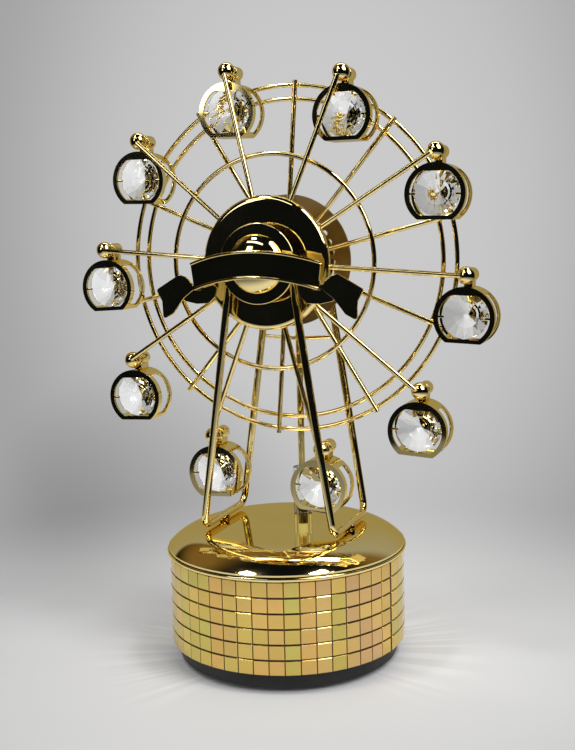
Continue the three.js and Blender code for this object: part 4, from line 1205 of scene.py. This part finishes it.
# %% [markdown]
# The crystals are cut with sixteen facets round a point: a low cone in front, and a taller back in two
# rows, whose corners are turned by half a facet. Flat facets and sharp edges are what makes glass sparkle,
# so this mesh is the one that gets no rounding and flat shading.

# %% Crystal
CRYSTAL_RADIUS = 7.4 * mm
CRYSTAL_RAISE = 0.6 * mm
GIRDLE = 0.8 * mm
CROWN = 1.6 * mm
PAVILION = 4.2 * mm
PAVILION_BREAK = (0.5, 0.54)
FACETS = 16


def facet_ring(mesh, radius, plane, shift):
    middle = -CAGE_DROP + CRYSTAL_RAISE
    angles = round_angles(1 if radius < TINY else FACETS, shift)
    return [mesh.verts.new((radius * cos(a), plane, middle + radius * sin(a))) for a in angles]


def crystal():
    claw_back = -CAGE_FRONT + FACE_THICKNESS + CLAW_DEPTH
    crown_at_claw = CROWN * (1 - (OPENING_RADIUS - CLAW_LENGTH) / CRYSTAL_RADIUS)
    girdle_front = claw_back + GAP + crown_at_claw
    girdle_back = girdle_front + GIRDLE
    out, along = PAVILION_BREAK
    rows = [
        (0.0, girdle_front - CROWN, 0),
        (CRYSTAL_RADIUS, girdle_front, 0),
        (CRYSTAL_RADIUS, girdle_back, 0),
        (out * CRYSTAL_RADIUS, girdle_back + along * PAVILION, 0.5),
        (0.0, girdle_back + PAVILION, 0),
    ]
    mesh = bmesh.new()
    rings = [facet_ring(mesh, *row) for row in rows]
    for k, (lower, upper) in enumerate(zip(rings, rings[1:])):
        if rows[k][2] == rows[k + 1][2] or len(upper) == 1:
            bridge(mesh, [lower, upper], closed=False)
            continue
        for i in range(FACETS):
            j = (i + 1) % FACETS
            mesh.faces.new([lower[i], lower[j], upper[i]])
            mesh.faces.new([lower[j], upper[j], upper[i]])
    piece = piece_from("stone", mesh)
    piece.data.shade_flat()
    return piece


crystal_model = crystal()
print("crystal", len(crystal_model.data.polygons), "faces")

# %% [markdown]
# Ten gondolas hang on the pins, each leaning its own way by up to six degrees, as they do after a ride.
# Each gets copies of the cage's and the crystal's mesh, turned and moved in the mesh itself, so that every
# object stays at the origin.

# %% Gondolas
LEANS = (-1, 0, -1, -3, -4, -6, 2, 2, 3, -1)


def placed_copy(name, model, k):
    angle = pi / 2 - (2 * k - 1) * pi / SPOKES + WHEEL_TURN
    pin = Vector((PIN_CIRCLE * cos(angle), 0, hub_height + PIN_CIRCLE * sin(angle)))
    data = model.data.copy()
    data.name = name
    data.transform(Matrix.Translation(pin) @ Matrix.Rotation(-radians(LEANS[k]), 4, "Y"))
    return new_object(name, data)


for k in range(SPOKES):
    label = f"{k + 1:02d}"
    body = "gondola_" + label
    gild(placed_copy("cage_" + label, cage_model, k), body, body + "_frame")
    stone = placed_copy("stone_" + label, crystal_model, k)
    dress(stone, crystal_glass, "crystal", body, body + "_crystal")
bpy.data.objects.remove(cage_model)
bpy.data.objects.remove(crystal_model)

# %% [markdown]
# The mosaic band is 49 columns of six tiles, each a small bevelled mirror on a dark backing ring, whose
# colour shows in the joints. Geometry Nodes place the tiles: a point's index gives its column and its row,
# a rotation turns it round the drum, and a seeded random value by column gives the tint, with its painted
# reflection, that the material reads.

# %% Mosaic band
COLUMNS = 49
ROWS = 6
BAND_RADIUS = edges("mirror_tile_band", "x")[1]
BAND_WALL = 1.3 * mm
JOINT_DEPTH = 0.3 * mm
JOINT_WIDTH = 0.3 * mm
TILE_EDGE = 0.17 * mm
COLUMN_STEP = radians(7.32)
SEAM = radians(360) - COLUMNS * COLUMN_STEP
SEAM_TURN = radians(78.2 - 90)
FIRST_COLUMN = SEAM_TURN + SEAM + COLUMN_STEP / 2
TINT_SEED = 11
band_bottom, band_top = edges("mirror_tile_band", "z")
ROW_PITCH = (band_top - band_bottom) / ROWS


def one_tile():
    half = BAND_RADIUS * tan(COLUMN_STEP / 2) - JOINT_WIDTH / 2
    out = BAND_RADIUS * cos(COLUMN_STEP / 2)
    low = (out - 2 * JOINT_DEPTH, -half, JOINT_WIDTH / 2)
    return block("one_tile", low, (out, half, ROW_PITCH - JOINT_WIDTH / 2), TILE_EDGE, segments=1)


def mosaic_tree():
    measures = ["Column Step", "First Angle", "Bottom", "Row Pitch"]
    tree, source = geometry_tree("mosaic_band", Int=["Columns", "Rows", "Seed"], Float=measures)
    index = own_index(tree)
    column = maths(tree, "FLOOR", maths(tree, "DIVIDE", index, source["Rows"]))
    row = maths(tree, "SUBTRACT", index, times(tree, column, source["Rows"]))
    height = maths(tree, "MULTIPLY_ADD", row, source["Row Pitch"], source["Bottom"])
    place = made(tree, "ShaderNodeCombineXYZ", {2: height})
    angle = maths(tree, "MULTIPLY_ADD", column, source["Column Step"], source["First Angle"])
    turn = turned_by(tree, Z_AXIS, angle)
    total = times(tree, source["Columns"], source["Rows"])
    geometry = point_copies(tree, total, place, source["Geometry"], Rotation=turn)
    for label, key in zip(TILE_TINTS, (column, index)):
        chance = put(tree, "FunctionNodeRandomValue", {"ID": key, "Seed": source["Seed"]})
        values = {"Geometry": geometry, "Name": label, "Value": chance.outputs[1]}
        geometry = made(tree, "GeometryNodeStoreNamedAttribute", values, domain="INSTANCE")
    return close_tree(tree, geometry, source)


tiles = grown("tiles", mosaic_tree(), {
    "Columns": COLUMNS, "Column Step": COLUMN_STEP, "First Angle": FIRST_COLUMN,
    "Rows": ROWS, "Row Pitch": ROW_PITCH, "Bottom": band_bottom, "Seed": TINT_SEED, "Material": mosaic,
}, one_tile())
dress(tiles, mosaic, "mirror_tile", "base", "mirror_tile_band")
backing_outer = (BAND_RADIUS - JOINT_DEPTH) * cos(COLUMN_STEP / 2)
backing_profile = tube_profile(BAND_RADIUS - BAND_WALL, backing_outer, band_bottom, band_top)
backing = turned("tile_backing", backing_profile, sides=144)
dress(backing, joint_paste, "mirror_tile", "base", "mirror_tile_band")

# %% [markdown]
# The lid of the drum is spun from sheet: a flat top that curves down in one arc to an upright lip, over a
# narrow trim ring. Its slope decides what it mirrors, so the profile is a smooth arc with many steps and
# not a few flats, and three holes are cut for the shaft and the legs' studs.

# %% Cover and trim ring
COVER_WALL = 0.9 * mm
COVER_RADIUS = 40.2 * mm
COVER_FLAT = 27.2 * mm
COVER_LIP = 0.55 * mm
COVER_STEPS = 40
TRIM_RADIUS = 40.7 * mm
TRIM_WIDTH = 2.4 * mm
SHAFT_HOLE = 2.4 * mm
STUD_HOLE = 1.3 * mm
LEG_FOOT = 22.9 * mm
ROD_PLANE = 16.5 * mm
BROAD_ROUND = 0.4 * mm
cover_bottom, cover_top = edges("top_cover", "z")


def cover_curve(inset):
    """The lid's outline from its middle: flat, then an arc down to the upright lip of the rim."""
    width = COVER_RADIUS - COVER_FLAT - inset
    drop = cover_top - cover_bottom - COVER_LIP - inset
    bend = (width * width + drop * drop) / (2 * drop)
    angles = spread(0, asin(width / bend), COVER_STEPS)
    top = cover_top - inset
    shoulder = ((COVER_FLAT + bend * sin(a), top - bend * (1 - cos(a))) for a in angles)
    return [(0, top), *shoulder, (COVER_RADIUS - inset, cover_bottom)]


def drill(x, y, radius):
    depth = bar_profile(radius, cover_bottom, cover_top + cover_bottom)
    return turned("drill", depth, centre=(x, y, 0), sides=32)


lid = turned("lid", [*cover_curve(0), *reversed(cover_curve(COVER_WALL))], sides=160, round_off=0)
stud_holes = [drill(side * LEG_FOOT, 0, STUD_HOLE) for side in (-1, 1)]
gild(carved(lid, drill(0, ROD_PLANE, SHAFT_HOLE), *stud_holes), "base", "top_cover")
trim_profile = tube_profile(TRIM_RADIUS - TRIM_WIDTH, TRIM_RADIUS, *edges("cover_trim_ring", "z"))
gild(turned("trim", trim_profile, sides=160, round_off=BROAD_ROUND), "base", "cover_trim_ring")

# %% [markdown]
# Below the drum a moulded tray closes the base. It has a well in its middle for the winding key, three
# posts that hold the works, and three rubber pads to stand on. The tray is one more turned profile, and
# posts and pads are copied round by the tree that made the spokes.

# %% Bottom
BOTTOM_RADIUS = 37.4 * mm
BOTTOM_WALL = 1.6 * mm
WELL_RADIUS = 14 * mm
POST_RADIUS = 2.6 * mm
POST_CIRCLE = 27 * mm
PAD_RADIUS = 4 * mm
PAD_HEIGHT = 1.2 * mm
PAD_CIRCLE = 30.3 * mm
PADS = 3
PAD_TURN = radians(-30)
ORIGIN = (0, 0, 0)
plate_bottom, posts_top = edges("bottom_plate", "z")
plate_top = band_bottom - GAP
tray_inner = BOTTOM_RADIUS - BOTTOM_WALL
tray_floor = plate_bottom + BOTTOM_WALL
tray = turned("tray_body", [
    (WELL_RADIUS, plate_bottom), (BOTTOM_RADIUS, plate_bottom), (BOTTOM_RADIUS, plate_top),
    (tray_inner, plate_top), (tray_inner, tray_floor), (WELL_RADIUS, tray_floor),
], sides=128, round_off=BROAD_ROUND)
post_profile = bar_profile(POST_RADIUS, plate_bottom, posts_top)
post = turned("post", post_profile, centre=(POST_CIRCLE, 0, 0), sides=32)
posts = copied_round("posts", post, PADS, pi / 2, Z_AXIS, ORIGIN, black_plastic)
# The tray's black, darker than plastic, is partly painted shade.
dress(joined("tray", tray, posts), black_plastic, "black_plastic", "base", "bottom_plate")
pad = turned("pad", bar_profile(PAD_RADIUS, 0, PAD_HEIGHT), centre=(PAD_CIRCLE, 0, 0), sides=48)
pads = copied_round("pads", pad, PADS, PAD_TURN, Z_AXIS, ORIGIN, rubber)
dress(pads, rubber, "foot_rubber", "base", "foot_1", "foot_2", "foot_3")

# %% [markdown]
# Each side of the toy stands on one bent rod: up the front, down the back, and across the lid between two
# round bends. A path with arcs in its corners, bevelled into a rod, is exactly that. A stud under the
# cross bar goes through the lid.

# %% Leg frames
LEG_RADIUS = 1.25 * mm
LEG_PLANE = 16.8 * mm
LEG_TOP = 10.05 * mm
LEG_LIFT = 1.9 * mm
LEG_BEND = 4 * mm
LEG_ABOVE_HUB = 2.5 * mm
STUD_RADIUS = 1 * mm
STUD_HEAD = 1.9 * mm
STUD_ROUND = 0.1 * mm
bar_height = cover_top + LEG_LIFT
leg_top = hub_height + LEG_ABOVE_HUB


def leg_half_span(height):
    share = (height - bar_height) / (hub_height - bar_height)
    return LEG_FOOT - share * (LEG_FOOT - LEG_TOP)


for side, side_name in ((-1, "left"), (1, "right")):
    node = side_name + "_leg_frame"
    foot, head = side * LEG_FOOT, side * leg_half_span(leg_top)
    corners = [
        (head, -LEG_PLANE, leg_top), (foot, -LEG_PLANE, bar_height),
        (foot, LEG_PLANE, bar_height), (head, LEG_PLANE, leg_top),
    ]
    bent = rod(side_name + "_rod", soften(corners, LEG_BEND, steps=12, closed=False), LEG_RADIUS)
    stud_low, seat = edges(node, "z")[0], cover_top + GAP
    stud = turned("stud", [
        (0, stud_low), (STUD_RADIUS, stud_low), (STUD_RADIUS, seat), (STUD_HEAD, seat),
        (STUD_HEAD, bar_height), (0, bar_height),
    ], centre=(foot, 0, 0), sides=32, round_off=STUD_ROUND)
    gild(joined(side_name + "_legs", bent, stud), "base", node)

# %% [markdown]
# The ribbon banner is cast with a raised bead along its upper and lower edge. It arches down and bows back
# to its ends, where it folds under and comes out again as two forked tails. The band is a section carried
# along the arch, and the folds and tails are flat plates with broken edges. Its face is left bare.

# %% Banner
BANNER_HALF = 22.2 * mm
BANNER_TAPER = 0.55 * mm
BANNER_HEIGHT = 8.9 * mm
BANNER_THICKNESS = 0.9 * mm
BANNER_ROUND = 0.3 * mm
BANNER_STEPS = 64
BANNER_SAG = 3.75 * mm
BANNER_BOW = 3.5 * mm
BANNER_FRONT = 25 * mm
BEAD_WIDTH = 0.75 * mm
BEAD_DEPTH = 0.35 * mm
TAIL_PLANE = 19.5 * mm
FOLD_PLANE = 19.1 * mm
PLATE_CORNER = 0.8 * mm
PLATE_EDGE = 0.2 * mm
WEB_WIDTH = 2.7 * mm
WEB_HEIGHT = 3 * mm
WEB_EDGE = 0.15 * mm
BANNER_POST = 0.8 * mm
BANNER_POST_SPAN = 11 * mm
TAIL_SHARES = [
    (1.02, -0.26), (1.12, -0.17), (1.22, -0.14), (1.36, -0.22), (1.6, -0.36),
    (1.51, -0.53), (1.5, -0.8), (1.33, -0.71), (1.16, -0.49), (1.0, -0.37),
]
FOLD_SHARES = [
    (0.7, -0.25), (0.62, -0.34), (0.66, -0.47), (0.76, -0.56), (0.95, -0.57), (1.18, -0.52), (1.05, -0.3),
]


def banner_plane(share, depth):
    return -BANNER_FRONT + BANNER_BOW * share * share + depth


def banner_band():
    half = BANNER_HEIGHT / 2
    bead = half - BEAD_WIDTH
    section = soften([
        (-half, -BEAD_DEPTH), (-bead, -BEAD_DEPTH), (-bead, 0), (bead, 0), (bead, -BEAD_DEPTH),
        (half, -BEAD_DEPTH), (half, BANNER_THICKNESS), (-half, BANNER_THICKNESS),
    ], BANNER_ROUND)

    def placed(share, height, depth):
        reach = share * (BANNER_HALF - BANNER_TAPER + 2 * BANNER_TAPER * height / BANNER_HEIGHT)
        return (reach, banner_plane(share, depth), hub_height + height - BANNER_SAG * share * share)

    rings = [[placed(share, *point[:2]) for point in section] for share in spread(-1, 1, BANNER_STEPS)]
    return swept("banner_band", rings, False)


def banner_plate(name, shares, side, plane):
    """A flat outline in X and Z, given a thickness towards +Y, with its edges broken."""
    outline = [(side * out * BANNER_HALF, hub_height + up * BANNER_HALF) for out, up in shares]
    mesh = bmesh.new()
    front = -plane - BANNER_THICKNESS
    face = mesh.faces.new([mesh.verts.new((x, front, z)) for x, z, _ in soften(outline, PLATE_CORNER)])
    thick = bmesh.ops.extrude_face_region(mesh, geom=[face])
    moved = [item for item in thick["geom"] if isinstance(item, bmesh.types.BMVert)]
    bmesh.ops.translate(mesh, vec=(0, BANNER_THICKNESS, 0), verts=moved)
    return bevelled(piece_from(name, mesh), PLATE_EDGE)


parts = [banner_band()]
end_bottom = hub_height - BANNER_SAG - BANNER_HEIGHT / 2
end_reach = BANNER_HALF - BANNER_TAPER
end_plane = banner_plane(1, BANNER_THICKNESS / 2)
post_front = banner_plane(BANNER_POST_SPAN / BANNER_HALF, BANNER_THICKNESS / 2)
post_profile = bar_profile(BANNER_POST, post_front, front_plate[0] - GAP)
for side in (-1, 1):
    parts.append(banner_plate("tail", TAIL_SHARES, side, TAIL_PLANE))
    parts.append(banner_plate("fold", FOLD_SHARES, side, FOLD_PLANE))
    web = sorted((side * (end_reach - WEB_WIDTH), side * end_reach))
    high = (web[1], -FOLD_PLANE, end_bottom + WEB_HEIGHT)
    parts.append(block("web", (web[0], end_plane, end_bottom), high, WEB_EDGE))
    post_place = (side * BANNER_POST_SPAN, 0, hub_height)
    parts.append(turned("banner_post", post_profile, "Y", post_place, sides=24))
dress(joined("ribbon", *parts), ribbon_gold, "polished_gold", "base", "banner")

# %% [markdown]
# Behind the wheel a thin rod rises from the drum. A clear sleeve couples it to the works, and at its top a
# crown of fifteen pins works in the drive disc's holes. All of it turns round the rod's own axis, so again
# profiles are spun, and the pins are copied round it.

# %% Drive
ROD_RADIUS = 1.15 * mm
SLEEVE_RADIUS = 3.15 * mm
PLUG_RADIUS = 1.7 * mm
PLUG_SOCKET = 8 * mm
SLEEVE_ROUND = 0.2 * mm
PINION_PINS = 15
PINION_BODY = 5.6 * mm
PINION_TIP = 7.9 * mm
PINION_PIN_RADIUS = 0.5 * mm
rod_place = (0, ROD_PLANE, 0)
rod_profile = bar_profile(ROD_RADIUS, *edges("drive_rod", "z"))
gild(turned("upright_rod", rod_profile, centre=rod_place, sides=32), "drive", "drive_rod")
sleeve_low, sleeve_high = edges("coupling_sleeve", "z")
plug, bore = PLUG_RADIUS + GAP, ROD_RADIUS + GAP
step = sleeve_low + PLUG_SOCKET
sleeve = turned("clear_sleeve", [
    (plug, sleeve_low), (SLEEVE_RADIUS, sleeve_low), (SLEEVE_RADIUS, sleeve_high), (bore, sleeve_high),
    (bore, step), (plug, step),
], centre=rod_place, sides=64, round_off=SLEEVE_ROUND)
dress(sleeve, clear_tube, "clear_plastic", "drive", "coupling_sleeve")
pinion_low, pinion_high = edges("drive_pinion", "z")
pinion_profile = tube_profile(bore, PINION_BODY, pinion_low, pinion_high)
pinion_body = turned("pinion_body", pinion_profile, centre=rod_place, sides=90, round_off=SLEEVE_ROUND)
pinion_middle = (pinion_low + pinion_high) / 2
pinion_pin = rod("pinion_pin", [
    (PINION_BODY - PINION_PIN_RADIUS, 0, pinion_middle),
    (PINION_TIP, 0, pinion_middle),
], PINION_PIN_RADIUS, resolution=4)
first_pin = radians(-90 + HOLE_TURN * HOLES / PINION_PINS)
pinion_pins = copied_round("pinion_pins", pinion_pin, PINION_PINS, first_pin, Z_AXIS, rod_place, brass)
dress(joined("pin_gear", pinion_body, pinion_pins), brass, "plain_brass", "drive", "drive_pinion")

# %% [markdown]
# A wire between the rear legs keeps the rod upright. It bends into an eye, through which the rod runs
# free. The eye and its two arms are drawn as separate rods and then joined, because no single path runs
# through all three.

# %% Shaft guide
WIRE_RADIUS = 0.6 * mm
EYE_STEPS = 32
EYE_DIP = 0.6 * mm
guide_height = edges("shaft_guide", "z")[1] - WIRE_RADIUS
guide_end = leg_half_span(guide_height) - LEG_RADIUS - GAP
eye = ROD_RADIUS + RUN_GAP + WIRE_RADIUS
dip = guide_height - EYE_DIP
eye_path = [(eye * cos(a), ROD_PLANE + eye * sin(a), dip) for a in round_angles(EYE_STEPS)]
guide_parts = [rod("guide_eye", eye_path, WIRE_RADIUS, closed=True)]
for side in (-1, 1):
    arm_path = [(side * guide_end, LEG_PLANE, guide_height), (side * eye, ROD_PLANE, dip)]
    guide_parts.append(rod("guide_arm", arm_path, WIRE_RADIUS))
gild(joined("guide_wire", *guide_parts), "base", "shaft_guide")

# %% [markdown]
# The works inside the drum stay as they are in the frame, because their shape is right and the drum hides
# them. They still get real finishes, so that an opened toy looks finished too.

# %% Works
WORKS = {
    "base_drum": black_plastic, "leg_nut_left": brass, "leg_nut_right": brass, "takeoff_arbor": blued,
    "movement_bedplate": brass, "cylinder_bracket": brass, "spring_barrel": brass, "mainspring": steel,
    "winding_key": brass, "pinned_cylinder": brass, "tone_comb": steel, "governor_fan": brass,
}
for node, material in WORKS.items():
    nodes[node].data.materials.clear()
    nodes[node].data.materials.append(material)
    print(node, "is", material.name)

# %% [markdown]
# The last step measures two boxes, the frame's and the finished model's, and prints how far the second
# grew.

# %% Finish
visual_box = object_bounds()
corner_pairs = zip((*cad_box[0], *cad_box[1]), (*visual_box[0], *visual_box[1]))
print("box grew by", [round((after - before) / mm, 2) for before, after in corner_pairs])
